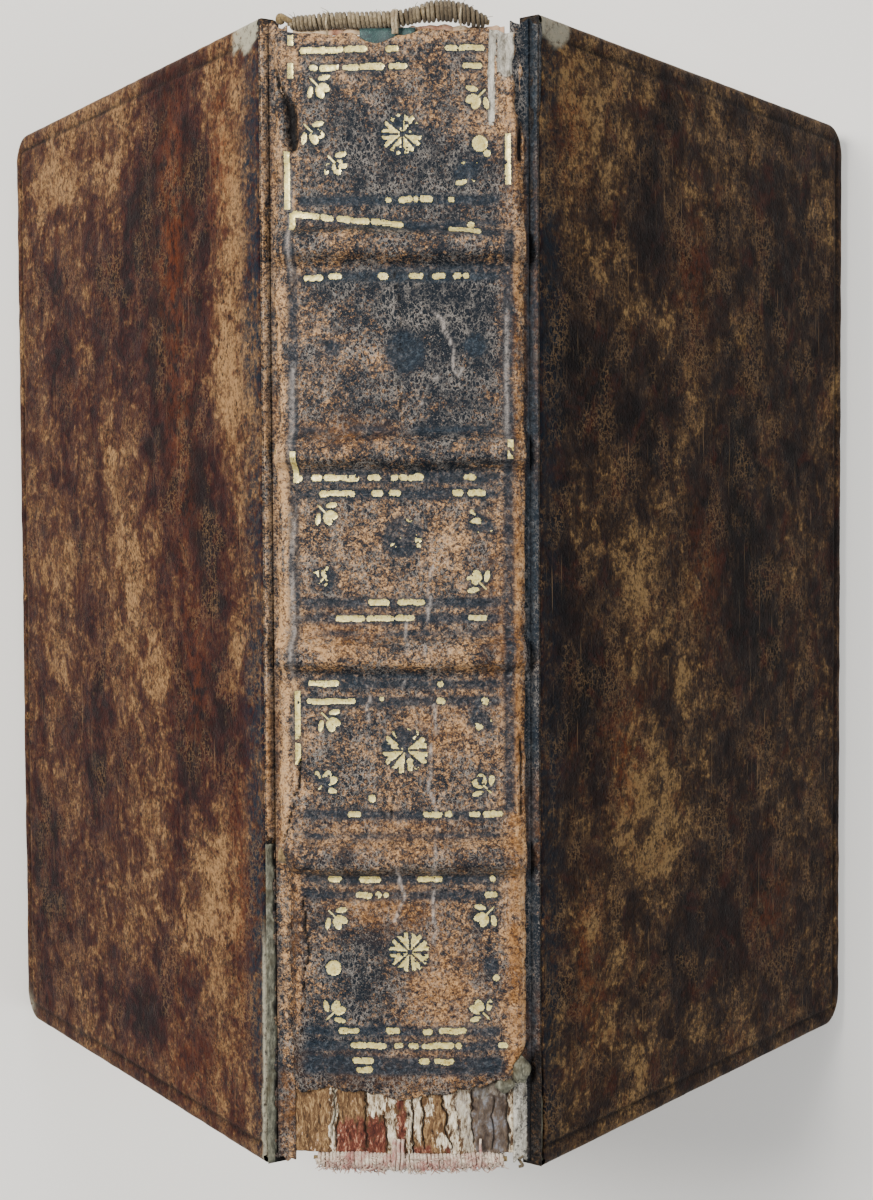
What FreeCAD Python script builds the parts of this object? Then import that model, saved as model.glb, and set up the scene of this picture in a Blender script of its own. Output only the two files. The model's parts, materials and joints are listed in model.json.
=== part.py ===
"""An old prayer book in mottled calf, standing tent-like on the fore-edges of its open boards.

A sewn book, taken apart as a binder would. Fourteen folded gatherings of leaves are sewn to four cords
that show as raised bands on the spine, with a kettle stitch and an endband at head and tail. Paper
linings fill the panels between the cords, and calf covers the spine. Each pasteboard board is laced on
with the cords' slips, covered in calf that turns in over its edges, and lined with a pasted-down leaf.
A free flyleaf and a strip of joint leather lie between each board and the leaves.

Frame: millimetres, +Z up, X across the book and Y along the spine, head at +Y. The origin is the centre
of the book's box on the surface that it stands on. The front board is on the +X side.

A side piece is drawn in its own closed frame, which has its origin on the fold that it turns about:
X points outwards through the board, Z up, so the leaves hang down along -Z. lean() then opens it by
SPLAY, and mirrors it for the back of the book.
"""

import FreeCAD
import Part

import math
import os

# Boards
BOARD_HEIGHT = 145.0
BOARD_WIDTH = 88.0
BOARD_THICKNESS = 2.2
CORNER_RADIUS = 4.0  # worn corners at the fore-edge
SQUARE = 1.8  # how far the boards overhang the leaves at head and tail
FORE_SQUARE = 2.5  # and at the fore-edge
JOINT_GROOVE = 1.5  # from the fold line down to the board's spine edge
SPLAY = 34.5  # degrees that each board leans from upright as the book stands

# Leather and paper on the boards
COVER_LEATHER = 0.7
TURN_IN_LEATHER = 0.4  # pared thinner where it is turned in
TURN_IN_WIDTH = 12.0
PASTEDOWN = 0.2
PASTEDOWN_BORDER = 4.0  # turn-in left showing round the pastedown
FLYLEAF = 0.25
LEAF_GAP = 0.25  # between the outer gathering and its flyleaf
BOARD_GAP = 0.3  # between the flyleaf and the pastedown

# Leaves
GATHERING_COUNT = 14  # an even number, half on each side of the opening
GATHERING_THICKNESS = 1.25
SEWING_SWELL = 0.75  # extra thickness that the thread gives each fold at the spine

# Spine
SPINE_ROUND = 1.2  # height of the spine's arch
SPINE_OVERHANG = 2.05  # spine leather beyond the outer fold
SPINE_LEATHER = 0.8
SPINE_LINING = 0.6
FOLD_CLEARANCE = 0.4  # free room over the folds, which turn under the linings
TAIL_LOSS = 9.2  # spine leather worn away at the tail
LINING_INSET = 1.2  # the linings stop this far inside the leather's long edges

# Cords, which make the raised bands
BAND_COUNT = 4
HEAD_PANEL = 28.2  # from the board's head edge to the first band
BAND_PITCH = 25.7
CORD_RADIUS = 1.0
THREAD_DIAMETER = 0.35
TUNNEL_CLEARANCE = 0.05  # leather round the cord and its thread
LINING_CLEARANCE = 0.1  # linings stop this far from the band's tunnel
RING_CLEARANCE = 0.01  # thread round the cord

# Cord slips, laced into the boards
SLIP_WIDTH = 2.4
SLIP_DEPTH = 0.6
SLIP_LENGTH = 13.0
SLIP_CLEARANCE = 0.1  # to the channel and the hole in the board
SLIP_TAIL = 1.6  # from the lacing hole's centre to the slip's end
LACING_RADIUS = 0.85

# Kettle stitches, endbands and ribbon
KETTLE_INSET = 6.5  # from the leaves' head or tail edge
KETTLE_RADIUS = 0.13
ENDBAND_CORE_RADIUS = 0.9
ENDBAND_THREAD = 0.4
ENDBAND_GAP = 0.5  # from the leaves' edge, room for the ribbon
ENDBAND_SINK = 0.3  # below the spine leather's surface
ENDBAND_INSET = 2.0  # the endbands stop this far inside the leather's long edges
RIBBON_WIDTH = 7.0
RIBBON_THICKNESS = 0.2
RIBBON_OFFSET = -1.3  # towards the back of the book
RIBBON_PASTED = 4.6  # length under the leather at the head
RIBBON_HANGING = 13.0  # torn stub that hangs in front of the leaves
RIBBON_CLEARANCE = 0.15

# Joint leather
JOINT_CLEARANCE = 0.04

HALF_BOARD = BOARD_HEIGHT / 2
HALF_LEAF = HALF_BOARD - SQUARE
LEAF_LENGTH = JOINT_GROOVE + BOARD_WIDTH - FORE_SQUARE
PITCH = GATHERING_THICKNESS + SEWING_SWELL
FOLD_RADIUS = GATHERING_THICKNESS / 2
OUTER_FOLD_X = PITCH * (GATHERING_COUNT - 1) / 2

# Distances outwards from the outer fold's plane, in the closed frame
FLYLEAF_IN = FOLD_RADIUS + LEAF_GAP
FLYLEAF_OUT = FLYLEAF_IN + FLYLEAF
PASTEDOWN_IN = FLYLEAF_OUT + BOARD_GAP
TURN_IN_IN = PASTEDOWN_IN + PASTEDOWN
BOARD_IN = TURN_IN_IN + TURN_IN_LEATHER
BOARD_OUT = BOARD_IN + BOARD_THICKNESS
LEATHER_OUT = BOARD_OUT + COVER_LEATHER
BOARD_END = JOINT_GROOVE + BOARD_WIDTH
LEATHER_END = BOARD_END + COVER_LEATHER

# The spine's layers are arcs about one line along Y. Heights over the fold arc:
LINING_LOW = FOLD_RADIUS + FOLD_CLEARANCE
LINING_TOP = LINING_LOW + SPINE_LINING
LEATHER_TOP = LINING_TOP + SPINE_LEATHER
CORD_HEIGHT = LINING_LOW + THREAD_DIAMETER + CORD_RADIUS
TUNNEL_RADIUS = CORD_RADIUS + THREAD_DIAMETER + TUNNEL_CLEARANCE
BAND_RADIUS = TUNNEL_RADIUS + SPINE_LEATHER
HALF_SPINE = OUTER_FOLD_X + FOLD_RADIUS + SPINE_OVERHANG
FOLD_ARC = (HALF_SPINE**2 + SPINE_ROUND**2) / (2 * SPINE_ROUND) - LEATHER_TOP

# The turned-in edge of each board's leather stands on the surface, at height 0.
SIN, COS = math.sin(math.radians(SPLAY)), math.cos(math.radians(SPLAY))
OUTER_FOLD_Z = LEATHER_END * COS - TURN_IN_IN * SIN
ARC_Z = OUTER_FOLD_Z - math.sqrt(FOLD_ARC**2 - OUTER_FOLD_X**2)

ENDBAND_RADIUS = ENDBAND_CORE_RADIUS + ENDBAND_THREAD
ENDBAND_Y = HALF_LEAF + ENDBAND_GAP + ENDBAND_RADIUS
LEATHER_HEAD = HALF_LEAF + ENDBAND_GAP
LEATHER_TAIL = TAIL_LOSS - HALF_BOARD
BAND_Y = [HALF_BOARD - HEAD_PANEL - BAND_PITCH * k for k in range(BAND_COUNT)]

Y_AXIS = FreeCAD.Vector(0, 1, 0)


def vec(x, y, z):
    return FreeCAD.Vector(x, y, z)


def box(x_range, y_range, z_range):
    """A box between two X, two Y and two Z values."""
    (x0, x1), (y0, y1), (z0, z1) = x_range, y_range, z_range
    return Part.makeBox(x1 - x0, y1 - y0, z1 - z0, vec(x0, y0, z0))


def fold_z(x):
    """Height of a gathering's fold line, on the spine's arc."""
    return ARC_Z + math.sqrt(FOLD_ARC**2 - x**2)


def lean(shape, fold_x):
    """A piece from its closed frame, opened by SPLAY about the fold at fold_x; negative is the back."""
    placed = shape.copy()
    turn = FreeCAD.Rotation(Y_AXIS, -SPLAY)
    placed.Placement = FreeCAD.Placement(vec(abs(fold_x), 0, fold_z(fold_x)), turn)
    if fold_x < 0:
        placed = placed.mirror(vec(0, 0, 0), vec(1, 0, 0))
    return placed


def fold_positions():
    """X of each gathering's fold, from the front board to the back board."""
    return [OUTER_FOLD_X - PITCH * i for i in range(GATHERING_COUNT)]


# Leaves


def leaf(low, high, top, length):
    """A plate of paper between two X values, rounded along its top edge, which lies at -top."""
    mid, radius = (low + high) / 2, (high - low) / 2
    crown = Part.Arc(vec(low, 0, -top), vec(mid, 0, radius - top), vec(high, 0, -top)).toShape()
    sides = Part.makePolygon([vec(high, 0, -top), vec(high, 0, -length), vec(low, 0, -length), vec(low, 0, -top)])
    face = Part.Face(Part.Wire([crown] + sides.Edges))
    face.translate(vec(0, -HALF_LEAF, 0))
    return face.extrude(vec(0, 2 * HALF_LEAF, 0))


def gathering():
    return leaf(-FOLD_RADIUS, FOLD_RADIUS, 0, LEAF_LENGTH)


def flyleaf():
    return leaf(FLYLEAF_IN, FLYLEAF_OUT, FLYLEAF, LEAF_LENGTH)


# Boards


def rounded_slab(x_range, half_height, top, end, radius):
    """A slab in a board's plane, from -top down to -end, with its two fore-edge corners rounded."""
    slab = box(x_range, (-half_height, half_height), (-end, -top))
    corners = [
        edge
        for edge in slab.Edges
        if all(abs(v.Z + end) < 1e-6 for v in edge.Vertexes) and abs(edge.tangentAt(0).x) > 0.9
    ]
    return slab.makeFillet(radius, corners)


def slip_shape(clearance, inner_x):
    """One cord slip: flat along the board's outer face, then down through the lacing hole."""
    half = SLIP_WIDTH / 2 + clearance
    end = JOINT_GROOVE + SLIP_LENGTH + clearance
    flat = box((BOARD_OUT - SLIP_DEPTH - clearance, BOARD_OUT), (-half, half), (-end, -JOINT_GROOVE))
    hole_z = -(JOINT_GROOVE + SLIP_LENGTH - SLIP_TAIL)
    peg = Part.makeCylinder(LACING_RADIUS + clearance, BOARD_OUT - inner_x, vec(inner_x, 0, hole_z), vec(1, 0, 0))
    return flat.fuse(peg).removeSplitter()


def at_bands(shape):
    """Copies of a piece at every band."""
    copies = []
    for y in BAND_Y:
        copy = shape.copy()
        copy.translate(vec(0, y, 0))
        copies.append(copy)
    return copies


def board():
    """Pasteboard with channels and holes for the cord slips."""
    core = rounded_slab((BOARD_IN, BOARD_OUT), HALF_BOARD, JOINT_GROOVE, BOARD_END, CORNER_RADIUS)
    return core.cut(Part.makeCompound(at_bands(slip_shape(SLIP_CLEARANCE, BOARD_IN))))


def cord_slips():
    return Part.makeCompound(at_bands(slip_shape(0, BOARD_IN)))


def cover_leather():
    """Calf over the board's outer face and three edges, turned in on the inner face."""
    outside = rounded_slab(
        (TURN_IN_IN, LEATHER_OUT), HALF_BOARD + COVER_LEATHER, JOINT_GROOVE, LEATHER_END, CORNER_RADIUS + COVER_LEATHER
    )
    room = rounded_slab((BOARD_IN, BOARD_OUT), HALF_BOARD, 0, BOARD_END, CORNER_RADIUS)
    half_window = HALF_BOARD - TURN_IN_WIDTH
    window = box((0, BOARD_IN), (-half_window, half_window), (TURN_IN_WIDTH - BOARD_END, 0))
    return outside.cut(room).cut(window)


def pastedown():
    """Paper over the turn-ins, which follows the board's face inside them."""
    top = JOINT_GROOVE + PASTEDOWN
    half_sheet = HALF_BOARD - PASTEDOWN_BORDER
    half_window = HALF_BOARD - TURN_IN_WIDTH
    sheet = box((PASTEDOWN_IN, TURN_IN_IN), (-half_sheet, half_sheet), (PASTEDOWN_BORDER - BOARD_END, -top))
    tray = box((PASTEDOWN_IN, BOARD_IN), (-half_window, half_window), (TURN_IN_WIDTH - BOARD_END, -top))
    half_hollow = half_window - PASTEDOWN
    hollow = box(
        (0, BOARD_IN - PASTEDOWN), (-half_hollow, half_hollow), (TURN_IN_WIDTH + PASTEDOWN - BOARD_END, 0)
    )
    return sheet.fuse(tray).cut(hollow).removeSplitter()


# Spine


def swept(face, half_width, height=LEATHER_TOP):
    """A face drawn in the plane X = 0, swept over the spine's arc to half_width, as measured at height."""
    half_angle = math.degrees(math.asin(half_width / (FOLD_ARC + height)))
    centre = vec(0, 0, ARC_Z)
    start = face.copy()
    start.rotate(centre, Y_AXIS, -half_angle)
    return start.revolve(centre, Y_AXIS, 2 * half_angle)


def over_folds(y, height):
    """A point in the plane X = 0, at a height over the fold arc."""
    return vec(0, y, ARC_Z + FOLD_ARC + height)


def ridged_line(height, radius):
    """Edges along the spine at one height from head to tail, rising over every band in an arc of radius."""
    reach = math.sqrt(radius**2 - (height - CORD_HEIGHT) ** 2)
    edges, start = [], over_folds(LEATHER_HEAD, height)
    for y in BAND_Y:
        foot, far_foot = over_folds(y + reach, height), over_folds(y - reach, height)
        edges.append(Part.LineSegment(start, foot).toShape())
        edges.append(Part.Arc(foot, over_folds(y, CORD_HEIGHT + radius), far_foot).toShape())
        start = far_foot
    edges.append(Part.LineSegment(start, over_folds(LEATHER_TAIL, height)).toShape())
    return edges


def spine_leather():
    """Calf pasted tight over the linings, and moulded over the cords into raised bands."""
    ends = [
        Part.LineSegment(over_folds(y, LINING_TOP), over_folds(y, LEATHER_TOP)).toShape()
        for y in (LEATHER_HEAD, LEATHER_TAIL)
    ]
    top = ridged_line(LEATHER_TOP, BAND_RADIUS)
    bottom = ridged_line(LINING_TOP, TUNNEL_RADIUS)
    outline = Part.__sortEdges__(top + bottom + ends)
    return swept(Part.Face(Part.Wire(outline)), HALF_SPINE)


def spine_lining(y_low, y_high):
    """Waste paper pasted over the folds in one panel."""
    corners = [(y_low, LINING_LOW), (y_high, LINING_LOW), (y_high, LINING_TOP), (y_low, LINING_TOP)]
    points = [over_folds(y, height) for y, height in corners]
    return swept(Part.Face(Part.makePolygon(points + points[:1])), HALF_SPINE - LINING_INSET)


def lining_panels():
    """The Y range of each panel between the cords, head panel first."""
    gap = TUNNEL_RADIUS + LINING_CLEARANCE
    highs = [HALF_LEAF - RIBBON_PASTED] + [y - gap for y in BAND_Y]
    lows = [y + gap for y in BAND_Y] + [-HALF_LEAF]
    return list(zip(lows, highs))


def round_face(y, height, radius):
    circle = Part.Circle(over_folds(y, height), vec(1, 0, 0), radius)
    return Part.Face(Part.Wire(circle.toShape()))


def sewing_cord(y):
    return swept(round_face(y, CORD_HEIGHT, CORD_RADIUS), HALF_SPINE)


def sewing_thread():
    """One turn of thread round every cord for each gathering."""
    rings = []
    arc = FOLD_ARC + CORD_HEIGHT
    for y in BAND_Y:
        for x in fold_positions():
            angle = math.asin(x / arc)
            centre = vec(x, y, ARC_Z + arc * math.cos(angle))
            along = vec(math.cos(angle), 0, -math.sin(angle))
            radius = CORD_RADIUS + RING_CLEARANCE + THREAD_DIAMETER / 2
            rings.append(Part.makeTorus(radius, THREAD_DIAMETER / 2, centre, along))
    return Part.makeCompound(rings)


def kettle_stitch(y):
    """The chain of thread across the folds near head or tail."""
    height = FOLD_RADIUS + FOLD_CLEARANCE / 2
    return swept(round_face(y, height, KETTLE_RADIUS), OUTER_FOLD_X, height)


def endband_core(y):
    height = LEATHER_TOP - ENDBAND_SINK - ENDBAND_RADIUS
    return swept(round_face(y, height, ENDBAND_CORE_RADIUS), HALF_SPINE - ENDBAND_INSET)


def endband_thread(y):
    """The close winding of thread round the core, as one sleeve."""
    height = LEATHER_TOP - ENDBAND_SINK - ENDBAND_RADIUS
    outer = round_face(y, height, ENDBAND_RADIUS)
    inner = round_face(y, height, ENDBAND_CORE_RADIUS)
    return swept(outer.cut(inner).Faces[0], HALF_SPINE - ENDBAND_INSET)


def ribbon_marker():
    """Silk ribbon pasted on the folds at the head, its torn stub hanging between endband and leaves."""
    low = LINING_LOW + RIBBON_CLEARANCE
    high = low + RIBBON_THICKNESS
    near = HALF_LEAF + RIBBON_CLEARANCE
    far = near + RIBBON_THICKNESS
    pasted = HALF_LEAF - RIBBON_PASTED + RIBBON_CLEARANCE
    corners = [
        (pasted, low), (near, low), (near, -RIBBON_HANGING), (far, -RIBBON_HANGING), (far, high), (pasted, high)
    ]
    points = [over_folds(y, height) for y, height in corners]
    face = Part.Face(Part.makePolygon(points + points[:1]))
    face.translate(vec(RIBBON_OFFSET - RIBBON_WIDTH / 2, 0, 0))
    return face.extrude(vec(RIBBON_WIDTH, 0, 0))


def joint_leather(side):
    """The strip that bridges the spine's edge and the board's, and flexes as the board swings."""
    edge_angle = math.asin(HALF_SPINE / (FOLD_ARC + LEATHER_TOP))
    across, up = math.sin(edge_angle), math.cos(edge_angle)

    def spine_point(height):
        arc = FOLD_ARC + height
        return vec(arc * across + JOINT_CLEARANCE * up, -HALF_LEAF, ARC_Z + arc * up - JOINT_CLEARANCE * across)

    def board_point(x):
        drop = JOINT_GROOVE - JOINT_CLEARANCE
        return vec(OUTER_FOLD_X + x * COS + drop * SIN, -HALF_LEAF, OUTER_FOLD_Z + x * SIN - drop * COS)

    points = [spine_point(LINING_TOP), spine_point(LEATHER_TOP), board_point(LEATHER_OUT), board_point(BOARD_OUT)]
    strip = Part.Face(Part.makePolygon(points + points[:1])).extrude(vec(0, 2 * HALF_LEAF, 0))
    return strip if side > 0 else strip.mirror(vec(0, 0, 0), vec(1, 0, 0))


def spine_nodes():
    """Every piece that stays with the spine."""
    nodes = {
        "spine_leather": spine_leather(),
        "sewing_thread": sewing_thread(),
        "head_kettle_stitch": kettle_stitch(HALF_LEAF - KETTLE_INSET),
        "tail_kettle_stitch": kettle_stitch(KETTLE_INSET - HALF_LEAF),
        "head_endband_core": endband_core(ENDBAND_Y),
        "head_endband_thread": endband_thread(ENDBAND_Y),
        "tail_endband_core": endband_core(-ENDBAND_Y),
        "tail_endband_thread": endband_thread(-ENDBAND_Y),
        "ribbon_marker": ribbon_marker(),
        "front_joint_leather": joint_leather(1),
        "back_joint_leather": joint_leather(-1),
    }
    for number, y in enumerate(BAND_Y, 1):
        nodes[f"sewing_cord_{number}"] = sewing_cord(y)
    for number, (y_low, y_high) in enumerate(lining_panels(), 1):
        nodes[f"spine_lining_{number}"] = spine_lining(y_low, y_high)
    return nodes


def side_nodes(name, fold_x):
    """A board with all that is fixed to it, and its flyleaf."""
    pieces = {
        "board": board(),
        "cover_leather": cover_leather(),
        "pastedown": pastedown(),
        "cord_slips": cord_slips(),
        "flyleaf": flyleaf(),
    }
    return {f"{name}_{piece}": lean(shape, fold_x) for piece, shape in pieces.items()}


def all_nodes():
    nodes = spine_nodes()
    for number, fold_x in enumerate(fold_positions(), 1):
        nodes[f"gathering_{number:02d}"] = lean(gathering(), fold_x)
    nodes.update(side_nodes("front", OUTER_FOLD_X))
    nodes.update(side_nodes("back", -OUTER_FOLD_X))
    return nodes


def main():
    os.makedirs("parts", exist_ok=True)
    for name, shape in all_nodes().items():
        shape.exportStep(f"parts/{name}.step")


if __name__ == "__main__":
    main()
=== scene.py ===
"""Looks for the prayer book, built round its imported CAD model.

Shapes are worked out in millimetres and turned into metres when a mesh is made. Three sets of coordinates
are used: the row frame, a side's closed frame (w outwards from the outer fold's plane, y along the spine,
u down from the fold), and the spine's unrolled surface (s across the arc, y along it, height over the
fold arc).
"""

import json
import math

import bpy
import numpy as np
from mathutils import Matrix, Vector


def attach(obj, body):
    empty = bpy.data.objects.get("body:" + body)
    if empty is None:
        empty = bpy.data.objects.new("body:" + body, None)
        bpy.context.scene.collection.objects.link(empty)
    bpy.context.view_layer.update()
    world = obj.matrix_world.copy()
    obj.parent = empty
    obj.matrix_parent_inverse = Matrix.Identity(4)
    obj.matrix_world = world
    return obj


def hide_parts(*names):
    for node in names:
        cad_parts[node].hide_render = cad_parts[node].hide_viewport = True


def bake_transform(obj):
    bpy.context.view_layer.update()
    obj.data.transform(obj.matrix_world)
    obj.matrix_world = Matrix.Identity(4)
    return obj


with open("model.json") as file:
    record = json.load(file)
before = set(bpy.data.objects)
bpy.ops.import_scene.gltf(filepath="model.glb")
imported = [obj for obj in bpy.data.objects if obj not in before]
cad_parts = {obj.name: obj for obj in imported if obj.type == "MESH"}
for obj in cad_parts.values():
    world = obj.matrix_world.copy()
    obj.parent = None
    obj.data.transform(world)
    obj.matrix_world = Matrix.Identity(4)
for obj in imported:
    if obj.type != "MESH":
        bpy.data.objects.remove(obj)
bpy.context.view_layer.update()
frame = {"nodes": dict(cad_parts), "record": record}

MM = 0.001

# Sizes that the CAD model holds too, in millimetres
SPLAY = math.radians(34.5)
SIN, COS = math.sin(SPLAY), math.cos(SPLAY)
HALF_BOARD = 72.5
HALF_COVER = 73.2
HALF_LEAF = 70.7
LEAF_LENGTH = 87.0
JOINT_GROOVE = 1.5
COVER_END = 90.2
CORNER = 4.7
TURN_IN_IN = 1.625
BOARD_IN = 2.025
BOARD_OUT = 4.225
COVER_OUT = 4.925
TURN_IN_WIDTH = 12.0
HALF_SPINE = 15.68
LEATHER_TOP = 2.425
BANDS = (44.3, 18.6, -7.1, -32.8)

joints = {joint["name"]: joint for joint in frame["record"]["behaviour"]["joints"]}


def joint_place(name):
    """A hinge's X and Z at rest, in millimetres."""
    x, _, z = joints[name]["pos_m"]
    return x / MM, z / MM


GATHERINGS = sorted(body for body in frame["record"]["behaviour"]["bodies"] if body.startswith("gathering"))
FOLDS = {
    body: joint_place(name)
    for name, joint in joints.items()
    for body in [joint["child"]]
    if body in GATHERINGS
}
OUTER_X, OUTER_Z = FOLDS[GATHERINGS[0]]
INNER_X, INNER_Z = FOLDS[GATHERINGS[len(GATHERINGS) // 2 - 1]]

# The spine's arc passes through every fold.
ARC_Z = (INNER_X**2 + INNER_Z**2 - OUTER_X**2 - OUTER_Z**2) / (2 * (INNER_Z - OUTER_Z))
FOLD_ARC = math.hypot(OUTER_X, OUTER_Z - ARC_Z)


# Smooth noise


def lattice(ix, iy, seed):
    n = (ix * 374761393 + iy * 668265263 + seed * 1442695041) & 0xFFFFFFFF
    n = ((n ^ (n >> 13)) * 1274126177) & 0xFFFFFFFF
    return ((n ^ (n >> 16)) & 0xFFFFFF) / 0xFFFFFF


def noise(x, y, seed=0):
    """Smooth value noise from -1 to 1, with features one unit wide."""
    x, y = np.broadcast_arrays(np.asarray(x, float), np.asarray(y, float))
    ix, iy = np.floor(x).astype(np.int64), np.floor(y).astype(np.int64)
    fx, fy = x - ix, y - iy
    fx, fy = fx * fx * (3 - 2 * fx), fy * fy * (3 - 2 * fy)
    low = lattice(ix, iy, seed) * (1 - fx) + lattice(ix + 1, iy, seed) * fx
    high = lattice(ix, iy + 1, seed) * (1 - fx) + lattice(ix + 1, iy + 1, seed) * fx
    return 2 * (low * (1 - fy) + high * fy) - 1


def fbm(x, y, size, octaves=3, seed=0, stretch=1.0):
    """Layered noise from -1 to 1, with its largest features size across and size * stretch along y."""
    x, y = np.asarray(x, float) / size, np.asarray(y, float) / (size * stretch)
    total, weight, norm = 0.0, 1.0, 0.0
    for octave in range(octaves):
        total = total + weight * noise(x * 2**octave, y * 2**octave, seed + 17 * octave)
        norm += weight
        weight *= 0.5
    return total / norm


def step(low, high, x):
    """Smooth step from 0 at low to 1 at high."""
    t = np.clip((x - low) / (high - low), 0, 1)
    return t * t * (3 - 2 * t)


def bell(x, width):
    return np.exp(-((x / width) ** 2))


def window(x, low, high, soft=0.14):
    """1 from low to high and 0 outside, with soft ends."""
    return step(low - soft, low + soft, x) * step(high + soft, high - soft, x)


# Coordinates


def from_closed(w, y, u, side, fold=None):
    """Closed-frame values to row-frame points. side is 1 for the front and -1 for the back."""
    fold_x, fold_z = fold or (OUTER_X, OUTER_Z)
    w, y, u = np.broadcast_arrays(w, y, u)
    x = side * (abs(fold_x) + w * COS + u * SIN)
    return np.stack([x, y, fold_z + w * SIN - u * COS], axis=-1).astype(float)


def from_spine(s, y, height):
    """Unrolled spine values to row-frame points."""
    s, y, height = np.broadcast_arrays(s, y, height)
    angle = s / (FOLD_ARC + LEATHER_TOP)
    radius = FOLD_ARC + height
    return np.stack([radius * np.sin(angle), y, ARC_Z + radius * np.cos(angle)], axis=-1).astype(float)


# Meshes


def quads(rows, columns, keep=None, wrap=False):
    """Quad faces of a grid of rows by columns points. keep marks the cells to make."""
    r, c = np.meshgrid(np.arange(rows - 1), np.arange(columns if wrap else columns - 1), indexing="ij")
    if keep is not None:
        r, c = r[keep], c[keep]
    r, c = r.ravel(), c.ravel()
    after = (c + 1) % columns
    a, b = r * columns + c, r * columns + after
    return np.stack([a, b, b + columns, a + columns], axis=-1)


def linked(name, points, faces, material, attributes):
    """A mesh object from millimetre points. attributes maps a name to one value per point."""
    mesh = bpy.data.meshes.new(name)
    mesh.from_pydata((points * MM).tolist(), [], faces)
    for key, values in (attributes or {}).items():
        layer = mesh.attributes.new(key, "FLOAT", "POINT")
        layer.data.foreach_set("value", np.asarray(values, np.float32).ravel())
    mesh.polygons.foreach_set("use_smooth", [True] * len(mesh.polygons))
    mesh.materials.append(material)
    mesh.update()
    piece = bpy.data.objects.new(name, mesh)
    bpy.context.collection.objects.link(piece)
    return piece


def mesh_piece(name, points, faces, material, attributes=None):
    """A mesh object from a grid of points, without those that no face uses."""
    points = np.asarray(points, float).reshape(-1, 3)
    used = np.unique(faces)
    place = np.full(len(points), -1)
    place[used] = np.arange(len(used))
    kept = {}
    for key, values in (attributes or {}).items():
        values = np.asarray(values, float)
        kept[key] = (np.full(len(points), values) if values.ndim == 0 else values.ravel())[used]
    return linked(name, points[used], place[faces].tolist(), material, kept)


def apply_modifier(piece, kind, **settings):
    modifier = piece.modifiers.new(kind.lower(), kind)
    for key, value in settings.items():
        setattr(modifier, key, value)
    with bpy.context.temp_override(object=piece, active_object=piece, selected_objects=[piece]):
        bpy.ops.object.modifier_apply(modifier=modifier.name)
    return piece


def thicken(piece, thickness, offset=-1.0):
    """Gives an open sheet a thickness in millimetres: behind its normals at offset -1, on both sides at 0."""
    return apply_modifier(piece, "SOLIDIFY", thickness=thickness * MM, offset=offset, use_even_offset=False)


def merge(parts):
    """Joins (points, faces) pairs into one pair."""
    points, faces, start = [], [], 0
    for part_points, part_faces in parts:
        part_points = np.asarray(part_points, float).reshape(-1, 3)
        points.append(part_points)
        faces.append(np.asarray(part_faces) + start)
        start += len(part_points)
    return np.concatenate(points), np.concatenate(faces)


def tube(path, radii, sides=8):
    """(points, faces) of a closed tube along a path of points, with one radius for each."""
    path = np.asarray(path, float)
    radii = np.broadcast_to(radii, len(path))
    ahead = np.gradient(path, axis=0)
    ahead /= np.linalg.norm(ahead, axis=1, keepdims=True) + 1e-12
    across = np.cross(ahead[0], [0.3, 0.5, 0.8])
    rings = []
    for centre, direction, radius in zip(path, ahead, radii):
        across = across - direction * np.dot(across, direction)
        across /= np.linalg.norm(across) + 1e-12
        up = np.cross(direction, across)
        angles = np.linspace(0, 2 * math.pi, sides, endpoint=False)[:, None]
        rings.append(centre + radius * (np.cos(angles) * across + np.sin(angles) * up))
    points = np.concatenate(rings + [path[:1], path[-1:]])
    faces = quads(len(path), sides, wrap=True)
    ring = np.arange(sides)
    following = (ring + 1) % sides
    start, end, last = len(path) * sides, len(path) * sides + 1, (len(path) - 1) * sides
    start_cap = np.stack([following, ring, np.full(sides, start), np.full(sides, start)], axis=-1)
    end_cap = np.stack([last + ring, last + following, np.full(sides, end), np.full(sides, end)], axis=-1)
    return points, np.concatenate([faces, start_cap, end_cap])


def clean_faces(faces):
    """Face lists with repeated corners dropped, and faces that collapse left out."""
    kept = []
    for face in np.asarray(faces).tolist():
        corners = list(dict.fromkeys(face))
        if len(corners) > 2:
            kept.append(corners)
    return kept


def list_piece(name, points, faces, material, attributes=None):
    """A mesh object from faces of three or four corners."""
    return linked(name, np.asarray(points, float), clean_faces(faces), material, attributes)


def side_word(side):
    return "front" if side > 0 else "back"


# Materials


def colour(text):
    """Linear colour of an sRGB hex text."""
    parts = [int(text[k : k + 2], 16) / 255 for k in (0, 2, 4)]
    return [p / 12.92 if p <= 0.04045 else ((p + 0.055) / 1.055) ** 2.4 for p in parts] + [1.0]


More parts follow.
